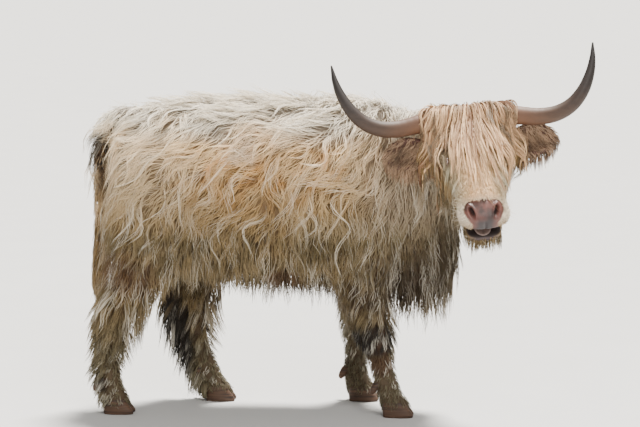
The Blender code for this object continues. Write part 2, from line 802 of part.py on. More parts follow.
def face_form(name, rows, coat):
    """A loft along the face, from rows of place, top, bottom and half width in the head's frame."""
    rings = []
    for y, top, bottom, half in smooth_rows(rows, 3):
        bare = min(1, max(0, (y - BARE_FROM) / (BARE_TO - BARE_FROM)))
        swell = coat * (1 - bare)
        middle = Vector((0, y, bottom + (top - bottom) * MIDDLE_SHARE))
        up, down = top - middle.z + swell, middle.z - bottom + swell
        outline = ring(middle, (1, 0, 0), (0, 0, 1), half + swell, up, down, HEAD_POWER)
        rings.append([HEAD @ p for p in outline])
    return loft(name, rings)


def head_hose(name, rows, **sizes):
    """A hose from rows of a point in the head's frame, half width and half depth."""
    return hose(name, [(*(HEAD @ Vector(point)), width, depth) for point, width, depth in rows], **sizes)


def horn_point(side, out, up, forward):
    rise = -up * math.cos(HORN_LEAN) + forward * math.sin(HORN_LEAN)
    lean = up * math.sin(HORN_LEAN) + forward * math.cos(HORN_LEAN)
    return HORN_ROOT_AT + Vector((side * out, rise, lean))


def horn_form(name, side, grow=0.0):
    """A horn as rings square to its bent middle line."""
    table = smooth_rows(HORN, 2)
    middles = [HEAD @ horn_point(side, *row[:3]) for row in table]
    rings = []
    for i, middle in enumerate(middles):
        along = (middles[min(i + 1, len(middles) - 1)] - middles[max(i - 1, 0)]).normalized()
        across = along.cross(HEAD.to_3x3() @ Vector((0, 0, 1))).normalized()
        radius = table[i][3] + grow
        rings.append(ring(middle, across, across.cross(along), radius, radius, radius, 2.0, 12))
    return loft(name, rings)


def ear_rings(rows, side, forward, grow=0.0):
    """Rings of the ear or of its cup, along the ear's drooping middle line."""
    rise = Vector((0, -math.cos(HEAD_NOD), math.sin(HEAD_NOD)))
    lift = rise * (EAR_LIFT if side < 0 else 0.0)
    root = Vector((side * EAR_ROOT.x, EAR_ROOT.y, EAR_ROOT.z)) + 0.5 * lift
    tip = Vector((side * EAR_TIP.x, EAR_TIP.y, EAR_TIP.z)) + lift
    front = (tip - root).normalized().cross(rise)
    front = front if front.z > 0 else -front
    rings = []
    for place, half_height, half_depth in smooth_rows(rows, 2):
        middle = root.lerp(tip, place) + front * forward + rise * (4 * EAR_DROOP * place * (1 - place))
        depth = half_depth + grow
        outline = ring(middle, rise, front, half_height + grow, depth, depth, 2.0, 12)
        rings.append([HEAD @ p for p in outline])
    return rings


def ear_locks(side):
    """Tresses that hang from the lower rim of an ear."""
    rings = ear_rings(EAR, side, 0.0)
    front = HEAD.to_3x3() @ Vector((0.0, 0.35, 1.0)).normalized()
    way = (HEAD.to_3x3() @ Vector((0.35 * side, 0.0, 0.0)) - Vector((0.0, 0.0, 1.0))).normalized()
    found = []
    for share, length, half_width in EAR_LOCKS:
        rim = min(rings[round(share * (len(rings) - 1))], key=lambda point: point.z)
        found.append(tress(rim - front * 0.005, way, front, length, half_width, 0.028))
    return found


def head_ball(name, place, size, tilt=0.0, segments=12, rows=8):
    """A sphere or a flattened one in the head's frame."""
    bpy.ops.mesh.primitive_uv_sphere_add(segments=segments, ring_count=rows, radius=1.0)
    obj = keep_in(bpy.context.object, helpers)
    obj.name = name
    shape = Matrix.Rotation(tilt, 4, "Z") @ Matrix.Diagonal((*size, 1))
    obj.data.transform(HEAD @ Matrix.Translation(place) @ shape)
    return obj


def lid_form(name, side):
    """The lids as one long ring round the eye."""
    bpy.ops.mesh.primitive_torus_add(
        major_segments=14, minor_segments=6, major_radius=LID_RADIUS, minor_radius=LID_ROUND
    )
    obj = keep_in(bpy.context.object, helpers)
    obj.name = name
    shape = Matrix.Rotation(math.pi / 2, 4, "Y") @ Matrix.Diagonal((1, LID_LENGTH, 1, 1))
    place = Vector((side * LID_AT.x, LID_AT.y, LID_AT.z))
    obj.data.transform(HEAD @ Matrix.Translation(place) @ shape)
    return obj


# Body, parted into torso, neck and legs

pieces = [
    torso_form(CORE_SHARE * COAT_TORSO, CORE_SHARE * COAT_BELLY),
    hose("neck_form", NECK, CORE_SHARE * COAT_NECK),
]
for name, leg in LEGS.items():
    pieces.append(leg_form(name + "_form", leg[0], CORE_SHARE * COAT_LEG, CORE_SHARE * COAT_SHANK))
body = melt("body", pieces, 0.012, 6, 2100)
skin = skin_of(body)
locks = torso_locks(skin) + neck_locks(skin)
for name, leg in LEGS.items():
    locks += leg_locks(skin, *leg)
grow(body, locks)

before_neck = slab("before_neck", NECK_CUT_AT + NECK_CUT_TO * GAP, NECK_CUT_TO)
neck_side = head_slab("neck_side", HEAD_CUT_AT + HEAD_CUT_TO * GAP, HEAD_CUT_TO)
neck = inside(copy_of(body, "neck"), [before_neck, neck_side], "MANIFOLD")

behind_neck = slab("behind_neck", NECK_CUT_AT, NECK_CUT_TO)
tail = inside(hose("tail", TAIL, sides=TAIL_SIDES), [slab("tail_end", (TAIL_CUT_X - GAP, 0, 0), (-1, 0, 0))])
grow(tail, switch())
tail_space = hose("tail_space", TAIL, GAP, sides=TAIL_SIDES)
inside(tail_space, [slab("tail_space_end", (TAIL_CUT_X, 0, 0), (-1, 0, 0))])
leg_spaces = [leg_region(name + "_space", *leg[1:], gap=GAP) for name, leg in LEGS.items()]
torso = outside(copy_of(body, "torso"), [behind_neck, tail_space] + leg_spaces, "MANIFOLD")

above_claws = slab("above_claws", (0, 0, CLAW_TOP + GAP), (0, 0, 1))
legs = []
for name, leg in LEGS.items():
    node = inside(copy_of(body, name), [leg_region(name + "_part", *leg[1:]), above_claws], "MANIFOLD")
    foot_x, foot_y = leg[0][-3][0], leg[0][-3][1]
    for spread in (-1, 1):
        rows = [
            (foot_x - behind, foot_y + spread * apart, height, radius, radius)
            for behind, apart, height, radius in DEWCLAW
        ]
        boolean(node, hose("dewclaw", rows, parts=1, sides=6), "UNION")
    legs.append(keep_largest(node))

# Claws

claws = []
for name, leg in LEGS.items():
    foot_x, foot_y = leg[0][-2][0], leg[0][-2][1]
    for spread in (-1, 1):
        rings = []
        for z, forward, half_length, half_width in CLAW:
            middle = (foot_x + forward, foot_y + spread * CLAW_SPREAD, z)
            rings.append(
                ring(middle, (1, 0, 0), (0, 1, 0), half_length, half_width, half_width, 2.3, CLAW_SIDES)
            )
        place = "outer" if spread == leg[1] else "inner"
        claws.append(loft(f"{name.replace('leg', 'claw')}_{place}", rings))

# Head

pieces = [face_form("skull_form", SKULL, HEAD_COAT), face_form("jaw_form", JAW, JAW_COAT)]
pieces.append(head_hose("nape_form", NAPE))
poll = [(horn_point(1, out, 0.002, 0.0), radius, radius) for out, radius in POLL]
pieces.append(head_hose("poll_form", poll, parts=2))
pieces += [loft("ear_root", ear_rings(EAR, side, 0.0)[:5]) for side in (-1, 1)]
head = melt("head", pieces, 0.006, 4, 1900)

horns, ears, eyes = [], [], []
for side, word in ((1, "right"), (-1, "left")):
    outward = Vector((side, 0, 0))
    beyond = head_slab("beyond_boss", outward * (HORN_CUT + GAP), outward)
    horns.append(inside(horn_form("horn_" + word, side), [beyond]))
    ear = loft("ear_" + word, ear_rings(EAR, side, 0.0))
    outside(ear, [loft("cup", ear_rings(CUP, side, CUP_FORWARD)), horn_form("horn_space", side, HORN_ROOM)])
    inside(ear, [beyond])
    ears.append(grow(ear, ear_locks(side)))
    boolean(head, head_slab("boss_end", outward * HORN_CUT, outward), "DIFFERENCE")
    boolean(head, lid_form("lids", side), "UNION")
skin = skin_of(head)
grow(head, forelock(skin) + face_locks(skin))
inside(head, [head_slab("head_side", HEAD_CUT_AT, -HEAD_CUT_TO)], "MANIFOLD")
for side, word in ((1, "right"), (-1, "left")):
    spaces = [horn_form("horn_space", side, GAP), loft("ear_space", ear_rings(EAR, side, 0.0, 2 * GAP))]
    for space in spaces:
        inside(space, [head_slab("past_boss", Vector((side * HORN_CUT, 0, 0)), Vector((side, 0, 0)))])
    outside(head, spaces, "MANIFOLD")
    place = Vector((side * EYE_AT.x, EYE_AT.y, EYE_AT.z))
    boolean(head, head_ball("socket", place, [EYE_RADIUS + GAP] * 3), "DIFFERENCE", "MANIFOLD")
    eyes.append(head_ball("eye_" + word, place, [EYE_RADIUS] * 3))
    nostril = head_ball(
        "nostril",
        Vector((side * NOSTRIL_AT.x, NOSTRIL_AT.y, NOSTRIL_AT.z)),
        NOSTRIL_SIZE,
        tilt=-side * NOSTRIL_TILT,
        segments=10,
        rows=6,
    )
    boolean(head, nostril, "DIFFERENCE", "MANIFOLD")
tongue = head_ball("tongue", TONGUE_AT, TONGUE_SIZE, segments=12, rows=7)
tongue_space = head_ball("tongue_space", TONGUE_AT, TONGUE_SIZE + Vector([GAP] * 3), segments=12, rows=7)
outside(head, [tongue_space], "MANIFOLD")

# Nodes, materials and the move to the origin

def finish(node, colour, roughness):
    """Puts a node in the model, at the model's origin, with a material of its own."""
    keep_in(node, cow)
    node.data.transform(Matrix.Translation(ORIGIN_SHIFT))
    material = bpy.data.materials.new(node.name)
    material.use_nodes = True
    shader = material.node_tree.nodes["Principled BSDF"]
    shader.inputs["Base Color"].default_value = (*colour, 1)
    shader.inputs["Roughness"].default_value = roughness
    shader.inputs["Metallic"].default_value = 0.0
    node.data.materials.clear()
    node.data.materials.append(material)


for node in (torso, neck, head, tail, tongue):
    finish(node, *FINISHES[node.name])
for kind, nodes in (("leg", legs), ("claw", claws), ("horn", horns), ("ear", ears), ("eye", eyes)):
    for node in nodes:
        finish(node, *FINISHES[kind])
discard(list(helpers.objects))
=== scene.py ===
# %% [markdown]
# # A highland cow as a life-size still model
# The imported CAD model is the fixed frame: every piece is built where the frame says, in metres, with the
# floor at zero, +X towards the chest and +Y towards the cow's left. The CAD solids carry coarse locks; here
# one fine skin, several thousand tufts of hair and the bare parts take their place.

import math

import bmesh
import bpy
import numpy as np
from mathutils import Matrix, Vector
from mathutils.bvhtree import BVHTree
from mathutils.kdtree import KDTree


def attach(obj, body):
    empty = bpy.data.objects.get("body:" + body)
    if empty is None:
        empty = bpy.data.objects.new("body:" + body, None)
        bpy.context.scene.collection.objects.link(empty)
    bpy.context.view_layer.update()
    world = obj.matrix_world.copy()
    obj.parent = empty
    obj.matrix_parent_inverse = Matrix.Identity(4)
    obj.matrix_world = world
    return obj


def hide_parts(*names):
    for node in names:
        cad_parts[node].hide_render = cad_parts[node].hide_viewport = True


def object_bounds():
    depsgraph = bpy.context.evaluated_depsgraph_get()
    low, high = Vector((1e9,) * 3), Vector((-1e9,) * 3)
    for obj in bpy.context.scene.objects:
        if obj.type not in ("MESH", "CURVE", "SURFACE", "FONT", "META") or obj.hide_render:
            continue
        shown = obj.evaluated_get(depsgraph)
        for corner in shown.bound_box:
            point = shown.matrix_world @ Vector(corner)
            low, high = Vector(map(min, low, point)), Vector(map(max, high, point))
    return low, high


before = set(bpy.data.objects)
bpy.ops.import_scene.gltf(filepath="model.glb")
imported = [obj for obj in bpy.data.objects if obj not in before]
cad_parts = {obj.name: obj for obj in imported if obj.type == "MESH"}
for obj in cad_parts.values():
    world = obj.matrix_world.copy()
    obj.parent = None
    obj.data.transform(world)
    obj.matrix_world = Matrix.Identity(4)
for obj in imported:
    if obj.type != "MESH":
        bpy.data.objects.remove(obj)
cad_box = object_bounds()
print("CAD box", [[round(value, 3) for value in corner] for corner in cad_box])

# %% [markdown]
# ## Camera
# The photo was taken from nearly square on to the cow's right side, a little above the level of its back.
# A long lens far away gives that flat look; the numbers come from laying the CAD model over the photo.

# %% Camera
CAMERA_TARGET = Vector((-0.0673, 0.1406, 0.72))
CAMERA_DISTANCE = 9.0
CAMERA_SIDE, CAMERA_RISE = math.radians(5), math.radians(6.3)
CAMERA_LENS, SENSOR_WIDTH = 138.6, 36


def add_object(name, data):
    """A new object in the scene."""
    obj = bpy.data.objects.new(name, data)
    bpy.context.scene.collection.objects.link(obj)
    return obj


def aim(obj, place, way):
    """Puts a camera or a lamp at a place and turns it to look along a way."""
    obj.location = place
    obj.rotation_euler = way.to_track_quat("-Z", "Y").to_euler()


camera = add_object("camera", bpy.data.cameras.new("camera"))
camera.data.lens, camera.data.sensor_width = CAMERA_LENS, SENSOR_WIDTH
towards = Vector((
    math.sin(CAMERA_SIDE) * math.cos(CAMERA_RISE),
    -math.cos(CAMERA_SIDE) * math.cos(CAMERA_RISE),
    math.sin(CAMERA_RISE),
))
aim(camera, CAMERA_TARGET + CAMERA_DISTANCE * towards, -towards)
bpy.context.scene.camera = camera
print("camera at", [round(value, 2) for value in camera.location])

# %% [markdown]
# ## Shader sums
# A material is easier to read as a sum than as a web of nodes. A small class wraps one socket, and its
# operators add Math nodes; one method adds every other kind of node.

# %% Terms and finishes
def joined_by(operation, backwards=False):
    """A method that joins two terms in one Math node."""
    def join_terms(self, other):
        return self.math(operation, *((other, self) if backwards else (self, other)))

    return join_terms


class Term:
    """One output of a node. Sums, products and powers of terms add Math nodes."""

    def __init__(self, finish, socket):
        self.finish, self.socket = finish, socket

    def math(self, operation, *inputs, clamp=False):
        return self.finish.add("ShaderNodeMath", {"operation": operation, "use_clamp": clamp}, inputs)

    __add__ = __radd__ = joined_by("ADD")
    __mul__ = __rmul__ = joined_by("MULTIPLY")
    __sub__, __rsub__ = joined_by("SUBTRACT"), joined_by("SUBTRACT", backwards=True)
    __pow__ = joined_by("POWER")

    def clamp(self):
        return self.math("ADD", self, 0.0, clamp=True)

    def ramp(self, start, slope):
        """Nought at the start, up to one on its far side, or on its near side if the slope is negative."""
        return ((self - start) * slope).clamp()

    def size(self):
        return (self * self) ** 0.5


class Finish:
    """The nodes of one material, with a Principled shader at their end."""

    def __init__(self, name, **constants):
        self.material = bpy.data.materials.new(name)
        self.material.use_nodes = True
        self.tree = self.material.node_tree
        self.shader = self.tree.nodes["Principled BSDF"]
        self.set(**constants)
        self.at = self.add("ShaderNodeTexCoord", output="Object")

    def add(self, kind, settings=None, inputs=(), output=0):
        node = self.tree.nodes.new(kind)
        for key, value in (settings or {}).items():
            setattr(node, key, value)
        for key, value in inputs.items() if isinstance(inputs, dict) else enumerate(inputs):
            self.put(node.inputs[key], value)
        return Term(self, node.outputs[output])

    def put(self, socket, value):
        if isinstance(value, Term):
            self.tree.links.new(value.socket, socket)
        else:
            socket.default_value = value

    def set(self, **inputs):
        for key, value in inputs.items():
            self.put(self.shader.inputs[key.replace("_", " ")], value)
        return self.material

    def vector(self, operation, *inputs, output=0):
        return self.add("ShaderNodeVectorMath", {"operation": operation}, inputs, output)

    def noise(self, scale, detail=2.0, stretch=None):
        at = self.vector("MULTIPLY", self.at, stretch) if stretch else self.at
        return self.add("ShaderNodeTexNoise", {}, {"Vector": at, "Scale": scale, "Detail": detail})

    def mix(self, share, first, second):
        first, second = [c if isinstance(c, Term) else (*c, 1) for c in (first, second)]
        return self.add("ShaderNodeMix", {"data_type": "RGBA"}, {0: share, 6: first, 7: second}, output=2)

    def over(self, colour, *layers):
        """Lays colours over a first one, each with its share."""
        for share, tint in layers:
            colour = self.mix(share, colour, tint)
        return colour

    def patch(self, centre, radii, edge, wobble, noise):
        """A soft spot round a point: one inside it, nought outside, with a ragged edge."""
        away = self.vector("DIVIDE", self.vector("SUBTRACT", self.at, centre), radii)
        reach = self.vector("LENGTH", away, output="Value")
        return ((1 - reach) * edge + (noise - 0.5) * wobble).clamp()

    def mark(self, name):
        return self.add("ShaderNodeAttribute", {"attribute_name": name}, output="Fac")

    def bump(self, height, strength, distance):
        inputs = {"Height": height, "Strength": strength, "Distance": distance}
        return self.add("ShaderNodeBump", {}, inputs)


def srgb(red, green, blue):
    """A colour as a paint chart gives it, from 0 to 255, as light."""
    return tuple(((c / 255 + 0.055) / 1.055) ** 2.4 for c in (red, green, blue))


print("shader helpers ready")

# %% [markdown]
# ## The animal's forms
# The skin is built from the same named sizes as the CAD solids, without the coat's swell. Each form is a
# loft: rings of points along a smooth curve through a short table. The tables' frame has its origin under
# the middle of the trunk, and the shift moves it under the middle of the whole figure.

# %% Sizes of the trunk, neck, tail and legs
ORIGIN_SHIFT = Vector((-0.2063, 0.1406, 0.0))
MIDDLE_SHARE = 0.52
TORSO_POWER = 2.25
# Torso: x, top, bottom, half width
TORSO = (
    (-0.59, 0.97, 0.74, 0.07), (-0.57, 1.035, 0.69, 0.14), (-0.51, 1.085, 0.63, 0.19),
    (-0.39, 1.115, 0.57, 0.228), (-0.22, 1.128, 0.53, 0.245), (0.0, 1.13, 0.505, 0.255),
    (0.18, 1.13, 0.49, 0.245), (0.33, 1.128, 0.47, 0.215), (0.44, 1.1, 0.455, 0.185),
    (0.53, 1.03, 0.45, 0.145), (0.59, 0.9, 0.465, 0.1), (0.622, 0.76, 0.52, 0.045),
)
# Neck and tail: x, y, z of the middle, half width, half depth
NECK = (
    (0.3, 0.0, 0.86, 0.15, 0.2), (0.43, -0.005, 0.89, 0.145, 0.195), (0.55, -0.035, 0.925, 0.13, 0.175),
    (0.635, -0.105, 0.955, 0.115, 0.15), (0.675, -0.205, 0.97, 0.105, 0.13),
)
# Legs, in columns from the trunk down: x, y and height of the middle, half length, half width
HIND_HEIGHTS = (0.96, 0.84, 0.7, 0.58, 0.47, 0.37, 0.3, 0.2, 0.13, 0.085, 0.05, 0.03)
HIND_WIDTHS = (0.07, 0.095, 0.1, 0.085, 0.062, 0.045, 0.036, 0.029, 0.036, 0.039, 0.044, 0.044)
FORE_HEIGHTS = (0.9, 0.74, 0.58, 0.47, 0.37, 0.3, 0.25, 0.18, 0.125, 0.085, 0.05, 0.03)
FORE_LENGTHS = (0.1, 0.12, 0.105, 0.08, 0.062, 0.052, 0.046, 0.036, 0.041, 0.042, 0.05, 0.052)
FORE_WIDTHS = (0.07, 0.085, 0.075, 0.062, 0.052, 0.045, 0.041, 0.031, 0.037, 0.04, 0.044, 0.044)
LEG_COLUMNS = {
    "hindleg_right": (
        (-0.4, -0.415, -0.43, -0.47, -0.525, -0.575, -0.6, -0.614, -0.616, -0.606, -0.594, -0.59),
        (-0.115, -0.14, -0.155, -0.16, -0.16, -0.16, -0.16, -0.16, -0.16, -0.16, -0.16, -0.16),
        HIND_HEIGHTS,
        (0.12, 0.165, 0.165, 0.128, 0.088, 0.06, 0.046, 0.034, 0.04, 0.041, 0.05, 0.052),
        HIND_WIDTHS,
    ),
    "hindleg_left": (
        (-0.39, -0.395, -0.375, -0.34, -0.335, -0.356, -0.352, -0.325, -0.3, -0.28, -0.258, -0.252),
        (0.115, 0.14, 0.15, 0.15, 0.145, 0.14, 0.137, 0.133, 0.131, 0.13, 0.13, 0.13),
        HIND_HEIGHTS,
        (0.12, 0.165, 0.165, 0.13, 0.09, 0.064, 0.05, 0.036, 0.04, 0.041, 0.05, 0.052),
        HIND_WIDTHS,
    ),
    "foreleg_right": (
        (0.33, 0.32, 0.31, 0.312, 0.33, 0.35, 0.362, 0.378, 0.39, 0.403, 0.422, 0.428),
        (-0.12, -0.14, -0.15, -0.148, -0.145, -0.142, -0.141, -0.14, -0.14, -0.14, -0.14, -0.14),
        FORE_HEIGHTS, FORE_LENGTHS, FORE_WIDTHS,
    ),
    "foreleg_left": (
        (0.33, 0.31, 0.295, 0.285, 0.278, 0.274, 0.27, 0.262, 0.258, 0.264, 0.276, 0.282),
        (0.12, 0.145, 0.165, 0.168, 0.17, 0.17, 0.17, 0.17, 0.17, 0.17, 0.17, 0.17),
        FORE_HEIGHTS, FORE_LENGTHS, FORE_WIDTHS,
    ),
}
LEGS = {name: tuple(zip(*columns)) for name, columns in LEG_COLUMNS.items()}
TAIL = (
    (-0.52, 0.0, 1.07, 0.04, 0.034), (-0.58, 0.0, 1.078, 0.036, 0.03), (-0.63, 0.0, 1.05, 0.034, 0.027),
    (-0.655, 0.002, 0.99, 0.034, 0.024), (-0.662, 0.004, 0.9, 0.032, 0.022),
    (-0.664, 0.006, 0.78, 0.029, 0.021), (-0.664, 0.006, 0.66, 0.028, 0.021),
    (-0.668, 0.004, 0.56, 0.028, 0.022), (-0.676, 0.002, 0.48, 0.022, 0.018),
    (-0.682, 0.0, 0.42, 0.01, 0.009),
)
LEG_POWER = 2.1
SIDES = 28
UPRIGHT = 0.35          # a hose that leans less than this counts as upright, with its width across the cow
print("leg rows", {name: len(rows) for name, rows in LEGS.items()})

# %% Sizes of the head
HEAD_AT = Vector((0.688, -0.272, 1.078))
HEAD_TURN, HEAD_NOD, HEAD_ROLL = math.radians(7), math.radians(52), math.radians(5)
# Skull and jaw in the head's frame: y from poll to muzzle, top, bottom, half width
SKULL = (
    (-0.065, -0.045, -0.13, 0.055), (-0.04, -0.01, -0.17, 0.095), (0.01, 0.01, -0.2, 0.112),
    (0.07, 0.014, -0.212, 0.116), (0.13, 0.01, -0.205, 0.114), (0.19, 0.002, -0.18, 0.1),
    (0.245, -0.006, -0.15, 0.085), (0.3, -0.014, -0.128, 0.076), (0.345, -0.02, -0.114, 0.079),
    (0.385, -0.026, -0.106, 0.085), (0.414, -0.036, -0.102, 0.083), (0.434, -0.05, -0.098, 0.068),
    (0.442, -0.066, -0.092, 0.04),
)
JAW = (
    (0.06, -0.13, -0.205, 0.08), (0.11, -0.13, -0.236, 0.086), (0.17, -0.13, -0.228, 0.08),
    (0.235, -0.12, -0.202, 0.066), (0.3, -0.118, -0.184, 0.057), (0.355, -0.132, -0.178, 0.06),
    (0.398, -0.137, -0.176, 0.062), (0.418, -0.142, -0.17, 0.051), (0.428, -0.149, -0.164, 0.028),
)
HEAD_POWER = 2.3
NAPE = (
    ((0.0, 0.06, -0.1), 0.1, 0.1), ((0.0, 0.03, -0.15), 0.128, 0.15), ((0.0, 0.0, -0.2), 0.128, 0.155),
)
EYE_AT = Vector((0.0960, 0.148, -0.048))
EYE_RADIUS = 0.0215
LID_AT = Vector((0.1080, 0.148, -0.046))
LID_RADIUS, LID_ROUND = 0.0200, 0.0062
LID_LENGTH = 1.30       # the slit is longer than high
TONGUE_AT = Vector((0.004, 0.392, -0.131))
TONGUE_SIZE = Vector((0.030, 0.042, 0.0085))
# Horn: how far out, up and forward of the poll its middle runs, and its radius
HORN = (
    (0.085, 0.004, 0.0, 0.036), (0.13, 0.002, 0.002, 0.035), (0.19, -0.009, 0.008, 0.032),
    (0.25, -0.018, 0.016, 0.03), (0.312, -0.013, 0.026, 0.028), (0.366, 0.012, 0.034, 0.0255),
    (0.409, 0.057, 0.038, 0.022), (0.438, 0.112, 0.034, 0.017), (0.455, 0.168, 0.026, 0.011),
    (0.463, 0.226, 0.016, 0.003),
)
HORN_ROOT_AT = Vector((0.0, -0.036, -0.014))
HORN_LEAN = math.radians(42)    # of the horns' rise, from the face line towards the forehead's side
POLL = ((-0.155, 0.036), (-0.135, 0.040), (-0.070, 0.046), (0.000, 0.046), (0.070, 0.046), (0.135, 0.040),
        (0.155, 0.036))
# Ear and its cup: share of the length, half height, half depth
EAR = (
    (0.0, 0.028, 0.024), (0.15, 0.038, 0.026), (0.38, 0.056, 0.024), (0.62, 0.06, 0.018),
    (0.84, 0.046, 0.012), (1.0, 0.014, 0.005),
)
EAR_ROOT = Vector((0.104, 0.034, -0.120))
EAR_TIP = Vector((0.306, 0.052, -0.092))
EAR_LIFT = 0.018                # the left ear is held this much higher than the right one
EAR_DROOP = 0.012
CUP = (
    (0.2, 0.016, 0.014), (0.38, 0.042, 0.02), (0.62, 0.047, 0.016), (0.84, 0.033, 0.01),
    (0.93, 0.012, 0.005),
)
CUP_FORWARD = 0.016
BOTH = ((1, "right"), (-1, "left"))
print("horn rows", len(HORN))

# %% Making forms
def mesh_object(name, points, faces):
    """An object whose faces point outwards."""
    mesh = bpy.data.meshes.new(name)
    mesh.from_pydata([tuple(p) for p in points], [], faces)
    shell = bmesh.new()
    shell.from_mesh(mesh)
    bmesh.ops.recalc_face_normals(shell, faces=shell.faces)
    shell.to_mesh(mesh)
    shell.free()
    return add_object(name, mesh)


def freeze(obj):
    """Applies an object's modifiers to its mesh."""
    bpy.context.view_layer.update()
    graph = bpy.context.evaluated_depsgraph_get()
    mesh = bpy.data.meshes.new_from_object(obj.evaluated_get(graph))
    obj.modifiers.clear()
    obj.data = mesh
    return obj


def smooth_rows(rows, parts):
    """A smooth curve through the rows of a table, with each step divided into parts."""
    table = np.array(rows, float)
    padded = np.vstack([2 * table[0] - table[1], table, 2 * table[-1] - table[-2]])
    found = []
    for i in range(len(table) - 1):
        a, b, c, d = padded[i : i + 4]
        for k in range(parts):
            t = k / parts
            curve = 2 * b + (c - a) * t + (2 * a - 5 * b + 4 * c - d) * t**2
            found.append(0.5 * (curve + (3 * b - a - 3 * c + d) * t**3))
    found.append(table[-1])
    return [[float(value) for value in row] for row in found]


def ring(middle, across, upward, half_width, up, down, power, sides=SIDES):
    """Points of a section whose outline lies between an ellipse and a box."""
    points = []
    for k in range(sides):
        angle = 2 * math.pi * k / sides
        c, s = math.cos(angle), math.sin(angle)
        out = math.copysign(abs(c) ** (2 / power), c) * half_width
        rise = math.copysign(abs(s) ** (2 / power), s) * (up if s > 0 else down)
        points.append(Vector(middle) + out * Vector(across) + rise * Vector(upward))
    return points


def loft(name, rings):
    """A closed surface over a row of rings with the same number of points."""
    sides = len(rings[0])
    points = [p for one in rings for p in one]
    faces = [
        (i * sides + k, i * sides + (k + 1) % sides, (i + 1) * sides + (k + 1) % sides, (i + 1) * sides + k)
        for i in range(len(rings) - 1)
        for k in range(sides)
    ]
    faces.append(tuple(range(sides)))
    faces.append(tuple(range(len(points) - sides, len(points))))
    return mesh_object(name, points, faces)


def hose(name, rows, power=2.0, parts=4, sides=SIDES):
    """A loft along a bent path, square to it, from rows of x, y, z, half width and half depth."""
    table = smooth_rows(rows, parts)
    rings = []
    for i, row in enumerate(table):
        ahead, behind = table[min(i + 1, len(table) - 1)], table[max(i - 1, 0)]
        along = (Vector(ahead[:3]) - Vector(behind[:3])).normalized()
        across = along.cross(Vector((0, 0, 1)))
        across = across.normalized() if across.length > UPRIGHT else Vector((0, -1, 0))
        across = -across if across.y > 0 else across
        upward = across.cross(along).normalized()
        rings.append(ring(row[:3], across, upward, row[3], row[4], row[4], power, sides))
    return loft(name, rings)


def settle(name, shape):
    """An object made of loose geometry."""
    mesh = bpy.data.meshes.new(name)
    shape.to_mesh(mesh)
    shape.free()
    return add_object(name, mesh)


def merge(name, pieces):
    """Several objects become one."""
    whole = bmesh.new()
    for one in pieces:
        whole.from_mesh(one.data)
        bpy.data.objects.remove(one)
    return settle(name, whole)


def melt(name, pieces, voxel, rounds):
    """Closed pieces that cross each other become one smooth skin."""
    obj = merge(name, pieces)
    remesh = obj.modifiers.new("remesh", "REMESH")
    remesh.mode, remesh.voxel_size = "VOXEL", voxel
    smooth = obj.modifiers.new("smooth", "SMOOTH")
    smooth.factor, smooth.iterations = 0.5, rounds
    return freeze(obj)


print("form helpers ready")

# %% [markdown]
# ## One skin for the body
# Trunk, neck, legs and tail are lofts that cross each other. A voxel remesh welds them into one surface and
# a few rounds of smoothing round the creases, so that no seam shows where a leg meets the trunk.

# %% Body skin
BODY_VOXEL, BODY_ROUNDS = 0.010, 6

torso_rings = []
for x, top, bottom, half in smooth_rows(TORSO, 4):
    middle = Vector((x, 0, bottom + (top - bottom) * MIDDLE_SHARE))
    up, down = top - middle.z, middle.z - bottom
    torso_rings.append(ring(middle, (0, 1, 0), (0, 0, 1), half, up, down, TORSO_POWER))
body_forms = [loft("torso_form", torso_rings), hose("neck_form", NECK), hose("tail_form", TAIL)]
for name, rows in LEGS.items():
    leg_rings = [ring(row[:3], (1, 0, 0), (0, 1, 0), row[3], row[4], row[4], LEG_POWER)
                 for row in smooth_rows(rows, 4)]
    body_forms.append(loft(name + "_form", leg_rings))
body_skin = melt("body_skin", body_forms, BODY_VOXEL, BODY_ROUNDS)
body_skin.data.transform(Matrix.Translation(ORIGIN_SHIFT))
print("body skin", len(body_skin.data.polygons), "faces")

# %% [markdown]
# ## The head's own frame
# The head is turned towards the viewer and nods, so its forms are easier to state in a frame of its own:
# x to the cow's right, y from the poll to the muzzle, z out of the forehead.

# %% Head frame and its forms
def head_matrix():
    face = Vector((math.sin(HEAD_TURN), -math.cos(HEAD_TURN), 0))
    up = Vector((0, 0, 1))
    right = face.cross(up)
    tilt = Matrix.Rotation(HEAD_ROLL, 3, face)
    right, up = tilt @ right, tilt @ up
    nose = face * math.sin(HEAD_NOD) - up * math.cos(HEAD_NOD)
    out = face * math.cos(HEAD_NOD) + up * math.sin(HEAD_NOD)
    turn = Matrix((right, nose, out)).transposed().to_4x4()
    return Matrix.Translation(HEAD_AT + ORIGIN_SHIFT) @ turn


HEAD = head_matrix()
HEAD_TURNED = HEAD.to_3x3()
head_turned, head_at = np.array(HEAD_TURNED), np.array(HEAD.to_translation())
HEAD_SIDES = 40


def to_head(points):
    """Places seen from the head: sideways, forwards to the muzzle, and upwards."""
    return (points - head_at) @ head_turned


def from_head(points):
    return points @ head_turned.T + head_at


def mirrored(place, side):
    return Vector((side * place.x, place.y, place.z))


def face_form(name, rows):
    """A loft along the face, from rows of place, top, bottom and half width in the head's frame."""
    rings = []
    for y, top, bottom, half in smooth_rows(rows, 5):
        middle = Vector((0, y, bottom + (top - bottom) * MIDDLE_SHARE))
        up, down = top - middle.z, middle.z - bottom
        outline = ring(middle, (1, 0, 0), (0, 0, 1), half, up, down, HEAD_POWER, HEAD_SIDES)
        rings.append([HEAD @ p for p in outline])
    return loft(name, rings)


def head_hose(name, rows, **sizes):
    """A hose from rows of a point in the head's frame, half width and half depth."""
    return hose(name, [(*(HEAD @ Vector(point)), width, depth) for point, width, depth in rows], **sizes)


